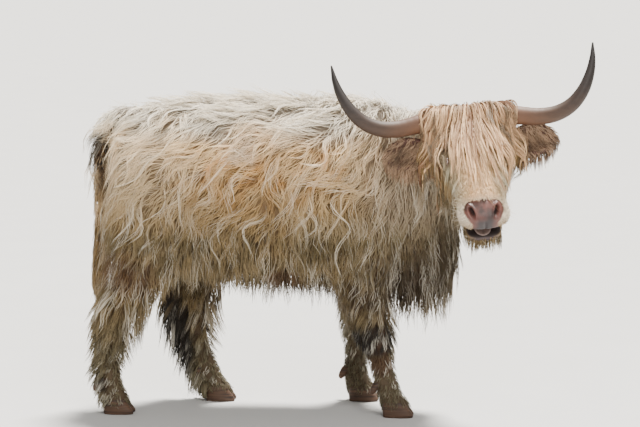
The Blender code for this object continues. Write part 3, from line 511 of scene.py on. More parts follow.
def horn_point(side, out, up, forward):
    rise = -up * math.cos(HORN_LEAN) + forward * math.sin(HORN_LEAN)
    lean = up * math.sin(HORN_LEAN) + forward * math.cos(HORN_LEAN)
    return HORN_ROOT_AT + Vector((side * out, rise, lean))


def ear_rings(rows, side, forward, parts=4, sides=24):
    """Rings of the ear or of its cup, along the ear's drooping middle line."""
    rise = Vector((0, -math.cos(HEAD_NOD), math.sin(HEAD_NOD)))
    lift = rise * (EAR_LIFT if side < 0 else 0.0)
    root, tip = mirrored(EAR_ROOT, side) + 0.5 * lift, mirrored(EAR_TIP, side) + lift
    front = (tip - root).normalized().cross(rise)
    front = front if front.z > 0 else -front
    rings = []
    for place, half_height, half_depth in smooth_rows(rows, parts):
        middle = root.lerp(tip, place) + front * forward + rise * (4 * EAR_DROOP * place * (1 - place))
        outline = ring(middle, rise, front, half_height, half_depth, half_depth, 2.0, sides)
        rings.append([HEAD @ p for p in outline])
    return rings


def lid_form(side):
    """The lids as one long ring round the eye."""
    bpy.ops.mesh.primitive_torus_add(
        major_segments=40, minor_segments=12, major_radius=LID_RADIUS, minor_radius=LID_ROUND
    )
    obj = bpy.context.object
    shape = Matrix.Rotation(math.pi / 2, 4, "Y") @ Matrix.Diagonal((1, LID_LENGTH, 1, 1))
    obj.data.transform(HEAD @ Matrix.Translation(mirrored(LID_AT, side)) @ shape)
    return obj


HEAD_VOXEL, HEAD_ROUNDS = 0.004, 4
head_forms = [face_form("skull_form", SKULL), face_form("jaw_form", JAW), head_hose("nape_form", NAPE)]
poll_rows = [(horn_point(1, out, 0.002, 0.0), radius, radius) for out, radius in POLL]
head_forms.append(head_hose("poll_form", poll_rows, parts=2))
head_forms += [loft("ear_root", ear_rings(EAR, side, 0.0)[:9]) for side in (-1, 1)]
head_forms += [lid_form(side) for side in (-1, 1)]
head_skin = melt("head_skin", head_forms, HEAD_VOXEL, HEAD_ROUNDS)
print("head skin", len(head_skin.data.polygons), "faces")

# %% [markdown]
# ## Muzzle
# A cow's nose is a bare, moist pad with two comma-shaped nostrils and a groove between them. The fine head
# skin has enough points to be shaped like clay: each detail pushes the points near it in or out. The same
# step notes how much each point belongs to the pad, the lips and the inside, for its colours; the inside of
# the nostrils and the mouth is painted near black as shade.

# %% Shaping the muzzle
NOSTRIL_AT = (0.047, 0.422, -0.034)
NOSTRIL_SIZE = (0.0090, 0.0300, 0.0215)
NOSTRIL_TILT = math.radians(35)
NOSTRIL_WAY = (-0.35, -0.92, -0.1)
NOSTRIL_DEPTH, NOSTRIL_RIM = 0.024, 0.0045
PAD_MIDDLE, PAD_HALF = -0.039, 0.065
PAD_WIDTHS = ((-0.10, -0.03), (0.046, 0.068))
PAD_FLOOR = (-0.112, -0.106)
PAD_PROUD = 0.0015
MOUTH_AT = -0.118
GROOVE_WIDTH, GROOVE_DEPTH = 0.004, 0.0035


def read(obj, what):
    """Points or normals of a mesh as an array."""
    found = np.empty(len(obj.data.vertices) * 3)
    obj.data.vertices.foreach_get(what, found)
    return found.reshape(-1, 3)


def step(low, high, value):
    """A smooth step from nought at low to one at high."""
    share = np.clip((value - low) / (high - low), 0, 1)
    return share * share * (3 - 2 * share)


def note(obj, name, values):
    """Keeps a number at each point of a mesh, for its material."""
    mark = obj.data.attributes.new(name, "FLOAT", "POINT")
    mark.data.foreach_set("value", np.asarray(values, np.float32))


normals = read(head_skin, "normal") @ head_turned
local = to_head(read(head_skin, "co"))
x, y, z = local.T
inner = np.zeros(len(local))
moved = local.copy()
for side in (-1, 1):
    away = local - np.array(NOSTRIL_AT) * (side, 1, 1)
    tilt = NOSTRIL_TILT * side
    across = away[:, 0] * math.cos(tilt) - away[:, 2] * math.sin(tilt)
    upward = away[:, 0] * math.sin(tilt) + away[:, 2] * math.cos(tilt)
    reach = np.linalg.norm(np.stack([across, away[:, 1], upward], axis=1) / NOSTRIL_SIZE, axis=1)
    pit = np.clip(1 - reach**2, 0, 1) ** 0.7
    moved += pit[:, None] * NOSTRIL_DEPTH * (np.array(NOSTRIL_WAY) * (side, 1, 1))
    moved += (np.exp(-(((reach - 1.3) / 0.28) ** 2)) * NOSTRIL_RIM)[:, None] * normals
    inner = np.maximum(inner, step(0.3, 0.7, pit))
# The pad narrows to a strip down the middle of the upper lip
climb = z - 0.9 * (y - 0.42)
square = (np.abs(x) / np.interp(climb, *PAD_WIDTHS)) ** 3 + (np.abs(climb - PAD_MIDDLE) / PAD_HALF) ** 3
pad = step(1.08, 0.94, square) * step(0.35, 0.36, y) * step(*PAD_FLOOR, z)
strip = step(0.052, 0.038, np.abs(x)) * step(-0.060, -0.070, z) * step(0.40, 0.41, y) * step(*PAD_FLOOR, z)
pad = np.maximum(pad, strip)
groove = np.exp(-((x / GROOVE_WIDTH) ** 2)) * step(0.392, 0.412, y)
groove = groove * step(-0.104, -0.090, z) * step(-0.052, -0.066, z)
moved -= (groove * GROOVE_DEPTH)[:, None] * normals
moved += (pad * (1 - inner) * PAD_PROUD)[:, None] * normals
# The mouth is what faces up or down between the lips, and the lips edge it
between = step(0.034, 0.028, np.abs(z - MOUTH_AT)) * step(0.30, 0.33, y)
faced = np.where(z > MOUTH_AT, -normals[:, 2], normals[:, 2])
mouth = between * step(0.35, 0.75, faced)
lip = step(0.031, 0.027, np.abs(z - MOUTH_AT)) * step(0.31, 0.35, y) * step(-0.088, -0.094, z)
lip = np.clip(lip - mouth, 0, 1)
inner = np.maximum(inner, mouth)
bare = np.clip(pad + lip * 0.9 + inner, 0, 1)
head_skin.data.vertices.foreach_set("co", from_head(moved).ravel())
head_skin.data.update()
for name, values in (("pad", pad), ("lip", lip), ("inner", inner)):
    note(head_skin, name, values)
print("pad points", int((pad > 0.5).sum()), "lip points", int((lip > 0.5).sum()))

# %% [markdown]
# ## Ears, eyes, tongue, horns and claws
# The bare and hard parts are pieces of their own. An ear is a leaf-shaped loft with a cup cut from it; a horn
# is a loft along its bent middle line, with many fine rings; an eye is a ball whose iris comes from its
# material.

# %% Ears
EAR_VOXEL, EAR_ROUNDS = 0.003, 2
ear_skins = {}
for side, word in BOTH:
    ear = loft("ear_skin_" + word, ear_rings(EAR, side, 0.0))
    cup = loft("cup", ear_rings(CUP, side, CUP_FORWARD))
    cut = ear.modifiers.new("cut", "BOOLEAN")
    cut.operation, cut.object = "DIFFERENCE", cup
    freeze(ear)
    bpy.data.objects.remove(cup)
    ear_skins[word] = melt("ear_skin_" + word, [ear], EAR_VOXEL, EAR_ROUNDS)
print("ear faces", {word: len(ear.data.polygons) for word, ear in ear_skins.items()})

# %% Eyes and tongue
EYE_LOOK = (0.94, 0.10, 0.33)
TONGUE_GROOVE, TONGUE_GROOVE_DEPTH = 0.006, 0.003


def ball(name, place, size, segments, rings):
    """A sphere or a flattened one, placed in the head's frame."""
    bpy.ops.mesh.primitive_uv_sphere_add(segments=segments, ring_count=rings, radius=1.0)
    obj = bpy.context.object
    obj.name = obj.data.name = name
    obj.data.transform(HEAD @ Matrix.Translation(place) @ Matrix.Diagonal((*size, 1)))
    obj.data.shade_smooth()
    return obj


eyes = {}
for side, word in BOTH:
    place = mirrored(EYE_AT, side)
    eyes[word] = ball("eyeball_" + word, place, [EYE_RADIUS] * 3, 48, 32)
    away = to_head(read(eyes[word], "co")) - np.array(place)
    note(eyes[word], "gaze", away @ (np.array(EYE_LOOK) * (side, 1, 1)) / EYE_RADIUS)
    note(eyes[word], "across", np.abs(away[:, 2]) / EYE_RADIUS)
tongue = ball("tongue_tip", TONGUE_AT, TONGUE_SIZE, 40, 24)
around = to_head(read(tongue, "co"))
hollow = np.exp(-(((around[:, 0] - TONGUE_AT.x) / TONGUE_GROOVE) ** 2))
hollow = hollow * step(TONGUE_AT.z, TONGUE_AT.z + TONGUE_GROOVE, around[:, 2])
around[:, 2] -= TONGUE_GROOVE_DEPTH * hollow
tongue.data.vertices.foreach_set("co", from_head(around).ravel())
print("eyes and tongue made")

# %% Horns
HORN_SIDES, HORN_PARTS, HORN_CUT = 40, 9, 0.128


def horn_form(side, word):
    """A horn as rings square to its bent middle line, with faint growth rings near its root."""
    table = [row for row in smooth_rows(HORN, HORN_PARTS) if row[0] > HORN_CUT - 0.02]
    middles = [HEAD @ horn_point(side, *row[:3]) for row in table]
    rings, shares = [], []
    for i, middle in enumerate(middles):
        along = (middles[min(i + 1, len(middles) - 1)] - middles[max(i - 1, 0)]).normalized()
        across = along.cross(HEAD_TURNED @ Vector((0, 0, 1))).normalized()
        share = i / (len(middles) - 1)
        wave = 0.0006 * math.sin(i * 1.7) * max(0.0, 1 - 2.2 * share)
        radius = table[i][3] + wave
        rings.append(ring(middle, across, across.cross(along), radius, radius, radius, 2.0, HORN_SIDES))
        shares += [share] * HORN_SIDES
    horn = loft("horn_sheath_" + word, rings)
    note(horn, "share", shares)
    return horn


horns = {word: horn_form(side, word) for side, word in BOTH}
print("horn faces", len(horns["right"].data.polygons))

# %% Claws and dewclaws
CLAW_SPREAD, CLAW_POWER, CLAW_SIDES = 0.0232, 2.3, 32
# Claw: height, how far forward of the foot's middle, half length, half width
CLAW = (
    (0.0, 0.013, 0.0505, 0.018), (0.0025, 0.014, 0.0535, 0.0205), (0.012, 0.013, 0.054, 0.0218),
    (0.03, 0.006, 0.048, 0.021), (0.046, 0.0, 0.042, 0.0205), (0.056, -0.003, 0.038, 0.018),
)
DEWCLAW = (
    (0.024, 0.018, 0.124, 0.01), (0.046, 0.021, 0.114, 0.0135), (0.058, 0.023, 0.094, 0.011),
    (0.06, 0.023, 0.084, 0.004),
)
claws, dewclaws = {}, []
for name, rows in LEGS.items():
    foot_x, foot_y = rows[-2][0] + ORIGIN_SHIFT.x, rows[-2][1] + ORIGIN_SHIFT.y
    ankle_x = rows[-3][0] + ORIGIN_SHIFT.x
    for spread in (-1, 1):
        rings = []
        for height, forward, *half in smooth_rows(CLAW, 4):
            middle = (foot_x + forward, foot_y + spread * CLAW_SPREAD, height)
            rings.append(ring(middle, (1, 0, 0), (0, 1, 0), *half, half[1], CLAW_POWER, CLAW_SIDES))
        place = "_outer" if (spread > 0) == name.endswith("left") else "_inner"
        claws[name.replace("leg", "claw") + place] = loft(name.replace("leg", "hoof_") + place, rings)
        rows_behind = [
            (ankle_x - behind, foot_y + spread * apart, height, radius, radius)
            for behind, apart, height, radius in DEWCLAW
        ]
        dewclaws.append(hose("dewclaw", rows_behind, sides=16))
dewclaw_set = merge("dewclaws", dewclaws)
for obj in (*claws.values(), dewclaw_set, *horns.values(), body_skin, head_skin, *ear_skins.values()):
    obj.data.shade_smooth()
print("claws", len(claws))

# %% [markdown]
# ## The coat
# A highland cow has a long outer coat of coarse, wavy strands that gather in tufts. Particle hair isn't kept
# by an export, so each strand is a thin, tapered, three-sided mesh. A tuft starts as one guide line: it is
# combed over the skin step by step, along the lie of the coat, and hangs where the body turns under. Then
# strands are set round each guide, drawn together towards its tip and waved a little each in its own way.

# %% A hide: the skin as hair sees it
SEED = 11
SINK = 0.004            # a strand's root is this deep in the skin
CROWD, SPACING, SCATTER, LEAST_WEIGHT = 5, 0.72, 0.004, 0.05
UNWRAP_ANGLE, ISLAND_MARGIN = math.radians(70), 0.002
# Coat stays over the floor and within the CAD model's box, but for a few loose hairs
REACH_LOW = np.array(cad_box[0]) + (-0.008, -0.008, 0.012)
REACH_HIGH = np.array(cad_box[1]) + 0.008
DOWN = np.array((0.0, 0.0, -1.0))
draw = np.random.default_rng(SEED)


def unit(vectors):
    return vectors / np.maximum(np.linalg.norm(vectors, axis=-1, keepdims=True), 1e-9)


def dot(first, second):
    return (first * second).sum(-1, keepdims=True)


def unwrap(obj):
    """Lays the skin flat in a map that the export bakes into, and returns the middle of each face there."""
    bpy.ops.object.select_all(action="DESELECT")
    bpy.context.view_layer.objects.active = obj
    obj.select_set(True)
    bpy.ops.object.mode_set(mode="EDIT")
    bpy.ops.mesh.select_all(action="SELECT")
    bpy.ops.uv.smart_project(angle_limit=UNWRAP_ANGLE, island_margin=ISLAND_MARGIN)
    bpy.ops.object.mode_set(mode="OBJECT")
    obj.data.uv_layers.active.name = "OFBake"
    corners = np.empty(len(obj.data.loops) * 2)
    obj.data.uv_layers["OFBake"].data.foreach_get("uv", corners)
    starts = np.empty(len(obj.data.polygons), int)
    obj.data.polygons.foreach_get("loop_start", starts)
    corners = corners.reshape(-1, 2)
    return 0.5 * (corners[starts] + corners[starts + 2])


class Hide:
    """A skin with its nearest points, its faces and their places in its map."""

    def __init__(self, obj):
        count = len(obj.data.polygons)
        self.spots = unwrap(obj)
        self.tree = BVHTree.FromPolygons(
            [v.co for v in obj.data.vertices], [p.vertices for p in obj.data.polygons]
        )
        self.centres, self.areas = np.empty(count * 3), np.empty(count)
        obj.data.polygons.foreach_get("center", self.centres)
        obj.data.polygons.foreach_get("area", self.areas)
        self.centres = self.centres.reshape(-1, 3)
        corners = np.array([p.vertices[:3] for p in obj.data.polygons])
        self.normals = unit(read(obj, "normal")[corners].sum(1))

    def nearest(self, points):
        at, face = np.empty_like(points), np.empty(len(points), int)
        for i, point in enumerate(points.tolist()):
            spot, _, index, _ = self.tree.find_nearest(point)
            at[i], face[i] = spot, index
        return at, face

    def sow(self, count, weight):
        """Roots strewn evenly over the skin, denser where the weight is larger, none too near another."""
        weight = np.asarray(weight, float)
        odds = self.areas * weight
        faces = draw.choice(len(odds), count * CROWD, p=odds / odds.sum())
        spots, faces = self.nearest(self.centres[faces] + draw.normal(0, SCATTER, (len(faces), 3)))
        inside = weight[faces] > 0
        spots, faces = spots[inside], faces[inside]
        room = SPACING * np.sqrt(odds.sum() / count / np.maximum(weight[faces], LEAST_WEIGHT))
        tree = KDTree(len(spots))
        for i, spot in enumerate(spots.tolist()):
            tree.insert(spot, i)
        tree.balance()
        kept, gone = [], set()
        for i, spot in enumerate(spots.tolist()):
            if i not in gone and len(kept) < count:
                kept.append(i)
                gone.update(j for _, j, _ in tree.find_range(spot, room[i]))
        return spots[kept], faces[kept]


def ripple(points, size, seed):
    """A smooth field between about -1 and 1."""
    source = np.random.default_rng(seed)
    total = 0.0
    for _ in range(5):
        way = source.normal(0, 1, 3)
        total = total + np.sin(points @ way / size + source.uniform(0, 6.28))
    return total[:, None] / 2.6


def comb(hide, roots, faces, lie, length, lift, swirl, steps, fall=(-0.15, -0.50), turns=(0.6, 1.2)):
    """Guide lines that start in the skin, follow the lie of the coat and hang where the skin turns under."""
    out = hide.normals[faces]
    path, outs = [roots - out * SINK], [out]
    now = roots
    count = len(roots)
    phase = 3.5 * ripple(roots, 0.06, 8) + draw.normal(0, 0.6, (count, 1))
    turns = draw.uniform(*turns, (count, 1))
    length, lift, swirl = (np.broadcast_to(v, (count,))[:, None] for v in (length, lift, swirl))
    for k in range(1, steps + 1):
        share = k / steps
        way = lie(now, out)
        way = unit(way - out * dot(way, out))
        free = step(fall[0], fall[1], out[:, 2:3])
        way = unit(way * (1 - free) + DOWN * free)
        way = unit(way + np.cross(way, out) * swirl * np.sin(2 * math.pi * turns * share + phase))
        ahead = now + way * length / steps
        base, face = hide.nearest(ahead)
        out = hide.normals[face]
        height = dot(ahead - base, out)
        wanted = lift * share**0.8
        loose = np.maximum(free, step(0.012, 0.03, height - 1.5 * lift))
        freed = ahead + out * np.maximum(0, 0.4 * wanted - height)
        now = (base + out * wanted) * (1 - loose) + freed * loose
        path.append(now)
        outs.append(out)
    return np.array(path), np.array(outs)


def along(lines, share):
    """Points of guide lines at a share of their length, one share for each line."""
    place = np.clip(share, 0, 1) * (len(lines) - 1)
    low = np.minimum(place.astype(int), len(lines) - 2)
    rest = (place - low)[:, None]
    column = np.arange(lines.shape[1])
    return lines[low, column] * (1 - rest) + lines[low + 1, column] * rest


def fill(hide, path, outs, members, radius, gather, frizz, rings, lengths=(0.65, 1.05)):
    """Strands round each guide line, drawn together towards its tip."""
    owner = np.repeat(np.arange(path.shape[1]), members)
    count = len(owner)
    lines, normals = path[:, owner], outs[:, owner]
    side = unit(np.cross(lines[1] - lines[0], normals[0]))
    fore = np.cross(normals[0], side)
    turn = draw.uniform(0, 2 * math.pi, (count, 1))
    reach = radius * np.sqrt(draw.uniform(0, 1, (count, 1)))
    roots, faces = hide.nearest(lines[0] + side * np.cos(turn) * reach + fore * np.sin(turn) * reach)
    offset = roots - hide.normals[faces] * SINK - lines[0]
    reach_share = draw.uniform(*lengths, count)
    phases, rates = draw.uniform(0, 2 * math.pi, (2, count)), draw.uniform(0.7, 1.8, (2, count))
    points, backs = [], []
    for k in range(rings + 1):
        share = k / rings
        place = share * reach_share
        now, out = along(lines, place), along(normals, place)
        ahead = along(lines, place + 0.1) - along(lines, place - 0.1)
        side = unit(np.cross(ahead, out))
        waves = [np.sin(2 * math.pi * rates[i] * share + phases[i])[:, None] for i in (0, 1)]
        size = frizz * share**0.7
        bent = now + offset * (1 - gather * place[:, None] ** 1.2) + side * waves[0] * size
        points.append(bent + out * waves[1] * size * 0.5)
        backs.append(out)
    return np.array(points), np.array(backs), owner, faces


def strands(points, backs, width, profile, roll=0.6):
    """Closed, tapered, three-sided strands along lines of points. Returns corners and triangles."""
    rings, count = points.shape[0] - 1, points.shape[1]
    ahead = unit(np.gradient(points, axis=0))
    side = unit(np.cross(ahead, backs))
    up = np.cross(side, ahead)
    turn = draw.uniform(-roll, roll, (1, count, 1))
    side, up = side * np.cos(turn) + up * np.sin(turn), up * np.cos(turn) - side * np.sin(turn)
    wide = np.asarray(profile)[:rings, None, None] * np.broadcast_to(width, (count,))[None, :, None] * 0.5
    line, side, up = points[:rings], side[:rings] * wide, up[:rings] * wide * 0.8
    corners = np.stack([line - side, line + side, line + up], axis=2)
    corners = corners.transpose(1, 0, 2, 3).reshape(count, rings * 3, 3)
    corners = np.concatenate([corners, points[rings][:, None, :]], axis=1)
    faces = [(0, 2, 1)]
    for k in range(rings - 1):
        for i in range(3):
            a, b = 3 * k + i, 3 * k + (i + 1) % 3
            faces += [(a, b, b + 3), (a, b + 3, a + 3)]
    last = 3 * (rings - 1)
    faces += [(last + i, last + (i + 1) % 3, last + 3) for i in range(3)]
    return corners, np.array(faces)[None] + (np.arange(count) * corners.shape[1])[:, None, None]


print("hair helpers ready")

# %% Turning strands into pieces
PIECE_LIMIT = 190000
PATCH = 0.003
LONG = (0.55, 0.9, 1.0, 0.9, 0.75, 0.5, 0.0)
FINE = (0.7, 1.0, 1.0, 0.9, 0.9, 0.8, 0.6, 0.4, 0.0)
FLOWING = (0.55, 0.95, 1.0, 0.85, 0.55, 0.0)
MIDDLING = (0.60, 1.0, 0.85, 0.5, 0.0)
SHORT = (0.7, 1.0, 0.6, 0.0)
# Kinds of hair: strands in a tuft, the tuft's radius, how far it gathers, frizz, a strand's width and how the
# width runs from root to tip, darkest and lightest tone, shortest and longest strand where that differs
HAIR = {
    "coat_trunk_under": (9, 0.038, 0.20, 0.006, 0.0040, SHORT, (0.1, 0.75)),
    "coat_trunk": (9, 0.024, 0.50, 0.009, 0.0025, LONG, (0.08, 0.95)),
    "coat_trunk_curls": (5, 0.008, 0.6, 0.003, 0.0026, FINE, (0.4, 1.0)),
    "coat_neck_under": (12, 0.030, 0.30, 0.005, 0.0042, (0.7, 1.0, 0.9, 0.6, 0.0), (0, 0.7)),
    "coat_neck": (9, 0.016, 0.65, 0.005, 0.0034, LONG, (0, 1)),
    "coat_wisps": (1, 0.003, 0.3, 0.004, 0.0014, FLOWING, (0.8, 1.2)),
    "coat_legs": (8, 0.016, 0.6, 0.003, 0.0032, MIDDLING, (0, 1)),
    "coat_hocks": (9, 0.014, 0.6, 0.004, 0.0042, MIDDLING, (0, 1)),
    "coat_tail": (12, 0.018, 0.4, 0.006, 0.0030, FLOWING, (0, 1), (0.5, 1.15)),
    "coat_face": (8, 0.011, 0.35, 0.0030, 0.0019, SHORT, (0, 1)),
    "coat_muzzle": (7, 0.007, 0.2, 0.0012, 0.0015, SHORT, (0.3, 0.9)),
    "coat_cheeks": (9, 0.013, 0.55, 0.003, 0.0028, FLOWING, (0, 1)),
    "coat_chin": (7, 0.010, 0.6, 0.003, 0.0022, MIDDLING, (0, 1)),
    # The forelock's under layer keeps to dark tones: painted shade in the gaps between its strands.
    "coat_forelock_under": (8, 0.014, 0.4, 0.004, 0.0036, LONG, (0, 0.45)),
    "coat_forelock": (6, 0.0045, 0.75, 0.0020, 0.0026, (0.6, 0.9, 1.0, 1.0, 0.85, 0.6, 0.3, 0.0), (0.1, 1.2)),
    "coat_ear": (8, 0.013, 0.4, 0.004, 0.0026, MIDDLING, (0, 1)),
}
coat_pieces = []


def piece(name, slot, corners, triangles, spots, tone, depth):
    """One mesh of many strands. Each strand is a small patch of the skin's map at its root's place."""
    count, size = corners.shape[:2]
    mesh = bpy.data.meshes.new(name)
    mesh.vertices.add(count * size)
    mesh.vertices.foreach_set("co", corners.astype(np.float32).ravel())
    loops = triangles.reshape(-1)
    mesh.loops.add(len(loops))
    mesh.loops.foreach_set("vertex_index", loops.astype(np.int32))
    mesh.polygons.add(len(loops) // 3)
    mesh.polygons.foreach_set("loop_start", np.arange(0, len(loops), 3, dtype=np.int32))
    mesh.shade_smooth()
    place = np.linspace(0, 1, size)
    patch = np.stack([np.arange(size) % 3 * 0.5, place], axis=1) * PATCH - 0.5 * PATCH
    uv = np.clip(spots[:, None, :] + patch[None], 0, 1).reshape(-1, 2)
    layer = mesh.uv_layers.new(name="OFBake")
    layer.data.foreach_set("uv", uv[loops].astype(np.float32).ravel())
    mesh.update(calc_edges=True)
    mesh.validate()
    obj = add_object(name, mesh)
    note(obj, "tone", np.repeat(tone, size))
    note(obj, "depth", np.tile(depth, count))
    coat_pieces.append((obj, slot))


def coat(name, slot, hide, guides, kind=None):
    """Fills guides with strands and makes pieces of them, each under the limit of triangles."""
    members, radius, gather, frizz, width, profile, shades, *lengths = HAIR[kind or name]
    path, outs = guides
    rings = len(profile) - 1
    points, backs, owner, faces = fill(hide, path, outs, members, radius, gather, frizz, rings, *lengths)
    tufts = np.clip(0.5 + 0.4 * ripple(path[0], 0.02, 6)[:, 0] + draw.normal(0, 0.2, path.shape[1]), 0, 1)
    tone = 0.70 * tufts[owner] + 0.30 * draw.uniform(0, 1, len(owner))
    tone = shades[0] + (shades[1] - shades[0]) * tone
    size = width * draw.uniform(0.7, 1.25, len(owner))
    corners, triangles = strands(np.clip(points, REACH_LOW, REACH_HIGH), backs, size, profile)
    total = triangles.shape[0] * triangles.shape[1]
    depth = np.append(np.repeat(np.linspace(0, 1, rings + 1)[:rings], 3), 1.0)
    parts = math.ceil(total / PIECE_LIMIT)
    per_part = math.ceil(len(owner) / parts)
    for i in range(parts):
        part = slice(i * per_part, (i + 1) * per_part)
        chunk = triangles[part] - i * per_part * corners.shape[1]
        label = name if parts == 1 else f"{name}_{i + 1}"
        piece(label, slot, corners[part], chunk, hide.spots[faces[part]], tone[part], depth)
    print(name, len(owner), "strands", total, "triangles")


body_hide, head_hide = Hide(body_skin), Hide(head_skin)
ear_hides = {word: Hide(ear) for word, ear in ear_skins.items()}
print("skins unwrapped")

# %% [markdown]
# ## Where each kind of hair grows
# Length, lift and lie change over the body: the long coat falls down and back from a parting along the
# spine, tangled on the flank and straighter below; it is short on the shanks and the face.

# %% Regions of the body
MIDDLE_Y = float(ORIGIN_SHIFT.y)
NECK_FROM = np.array((0.515, -0.020, 0.950)) + np.array(ORIGIN_SHIFT)
NECK_WAY = np.array(Vector((0.88, -0.28, 0.30)).normalized())
LEG_TOP = 0.47
TRUNK_FLOOR = 0.36
TAIL_FROM, TAIL_Y, TAIL_WIDTH = -0.831, 0.142, 0.05
TAIL_TIP, TAIL_TOP = 0.30, 0.98
ALONG_FACE = np.array((0.0, 1.0, 0.0))

centres, facing = body_hide.centres, body_hide.normals
ahead, aside, height = centres.T
is_neck = (centres - NECK_FROM) @ NECK_WAY > 0
is_tail = (ahead < TAIL_FROM) & (np.abs(aside - TAIL_Y) < TAIL_WIDTH)
is_tail &= (height > TAIL_TIP) & (height < TAIL_TOP)
is_leg = (height < LEG_TOP) & (facing[:, 2] > -0.6) & ~is_tail
is_trunk = (height > TRUNK_FLOOR) & ~(is_neck | is_tail | is_leg)
head_inside = to_head(centres)
near_head = (np.abs(head_inside[:, 0]) < 0.10) & (head_inside[:, 1] > 0.0) & (head_inside[:, 2] > -0.16)
tail_head = step(-0.72, -0.80, ahead) * step(0.92, 1.0, height)
trunk_area, neck_area = is_trunk * (1 + 1.2 * tail_head), is_neck & ~near_head
curls_area = is_trunk * (0.04 + step(0.65, 0.85, height) * step(0.25, 0.0, ahead))
leg_area = is_leg * np.interp(height, (0.05, 0.25, 0.45), (2.2, 1.5, 1.0))
hock_area = is_leg & (facing[:, 0] < -0.35) & (height > 0.055) & (ahead < -0.3)
tail_area = is_tail * np.interp(height, (0.45, 0.7), (2.5, 1.0))
for name, mask in (("trunk", is_trunk), ("neck", is_neck), ("leg", is_leg), ("tail", is_tail)):
    print(name, "area", round(float(body_hide.areas[mask].sum()), 2))


def body_lie(points, out):
    """Down, swept back on the upper flank and rump, parted along the spine, and tangled in places."""
    height, ahead = points[:, 2], points[:, 0]
    back = np.interp(height, (0.50, 0.75, 0.95, 1.10), (0.15, 0.45, 1.10, 0.90))
    back = back * (1 - 0.75 * step(-0.10, 0.20, ahead)) * (1 - 0.8 * step(-0.72, -0.84, ahead))
    top = step(0.75, 0.97, out[:, 2:3])
    aside = np.sign(points[:, 1:2] - MIDDLE_Y) * 0.8 * top
    way = np.stack([-back, np.zeros(len(points)), -np.ones(len(points))], axis=1)
    way = way + aside * np.array((0.0, 1.0, 0.0))
    way = unit(way - out * dot(way, out))
    tangled = step(0.62, 0.80, points[:, 2:3]) * step(0.25, 0.05, points[:, 0:1])
    angle = ripple(points, 0.060, 3) * (0.15 + 0.60 * tangled)
    return way * np.cos(angle) + np.cross(out, way) * np.sin(angle)


def steady(way):
    """A lie that points the same way everywhere."""
    return lambda points, out: np.array(way) + np.zeros_like(points)


def top_lie(points, out):
    """Stray hair on the back that the wind lifts."""
    return np.concatenate([ripple(points, 0.05, 4) - 0.5, ripple(points, 0.03, 5), 0 * points[:, :1]], axis=1)


print("lies ready")

# %% Coat of the trunk and neck
HEIGHTS = (0.45, 0.55, 0.70, 0.90, 1.05, 1.14)
UNDER_LENGTH = (0.080, 0.095, 0.12, 0.12, 0.10, 0.09)
UNDER_LIFT = (0.026, 0.026, 0.026, 0.026, 0.032, 0.040)
LONG_LENGTH = (0.090, 0.120, 0.19, 0.22, 0.20, 0.16)
LONG_LIFT = (0.036, 0.038, 0.040, 0.042, 0.048, 0.055)
LONG_SWIRL = (0.2, 0.25, 0.40, 0.60, 0.5, 0.4)
CURL_LENGTH, CURL_LIFT = [1.15 * v for v in LONG_LENGTH], [1.2 * v for v in LONG_LIFT]
CURL_SWIRL = (0.3, 0.4, 0.8, 1.0, 0.7, 0.4)
# Kind, slot, count, area, length, lift and swirl by height, steps, turns of the swirl
TRUNK_COATS = (
    ("coat_trunk_under", "coat_body", 1000, trunk_area, UNDER_LENGTH, UNDER_LIFT, (0.2,) * 6, 5, (0.6, 1.2)),
    ("coat_trunk", "coat_body", 1350, trunk_area, LONG_LENGTH, LONG_LIFT, LONG_SWIRL, 8, (0.6, 1.2)),
    ("coat_trunk_curls", "coat_body", 330, curls_area, CURL_LENGTH, CURL_LIFT, CURL_SWIRL, 12, (0.8, 1.4)),
    ("coat_neck_under", "coat_neck", 150, neck_area, UNDER_LENGTH, UNDER_LIFT, (0.2,) * 6, 5, (0.6, 1.2)),
    ("coat_neck", "coat_neck", 280, neck_area, (0.14,) * 6, (0.036,) * 6, (0.25,) * 6, 8, (0.6, 1.2)),
)


def trunk_guides(count, where, length, lift, swirl, steps, turns):
    """Guides whose length, lift and swirl go by height, longer on the brisket and fuller on the rump."""
    roots, faces = body_hide.sow(count, where)
    heights = roots[:, 2]
    rump = step(0.5, 0.9, -facing[faces][:, 0]) * step(-0.7, -0.8, roots[:, 0]) * step(0.98, 0.85, heights)
    stray = draw.uniform(0.7, 1.3, (2, len(roots)))
    brisket = step(0.12, 0.25, roots[:, 0]) * step(0.70, 0.52, heights)
    length = (np.interp(heights, HEIGHTS, length) + 0.06 * brisket) * stray[0]
    lift = np.interp(heights, HEIGHTS, lift) * stray[1] + 0.020 * rump
    swirl = np.interp(heights, HEIGHTS, swirl)
    return comb(body_hide, roots, faces, body_lie, length, lift, swirl, steps, turns=turns)


for name, slot, *how in TRUNK_COATS:
    coat(name, slot, body_hide, trunk_guides(*how))
roots, faces = body_hide.sow(420, is_trunk & (facing[:, 2] > 0.8))
guides = comb(body_hide, roots, faces, top_lie, 0.12, draw.uniform(0.035, 0.065, len(roots)), 0.3, 6)
coat("coat_wisps", "coat_body", body_hide, guides)

# %% Coat of the legs and tail
LEG_HEIGHTS = (0.04, 0.10, 0.16, 0.25, 0.33, 0.40, 0.47)
LEG_LENGTH = (0.026, 0.026, 0.028, 0.045, 0.080, 0.110, 0.12)
LEG_LIFT = (0.008, 0.008, 0.010, 0.020, 0.034, 0.044, 0.046)
HOCK_LENGTH = (0.03, 0.04, 0.07, 0.10, 0.12, 0.13, 0.13)
HOCK_LIFT = (0.022, 0.032, 0.042, 0.058, 0.066, 0.066, 0.058)
HANGING = (-0.5, -0.8)
leg_lie = steady((-0.18, 0.0, -1.0))

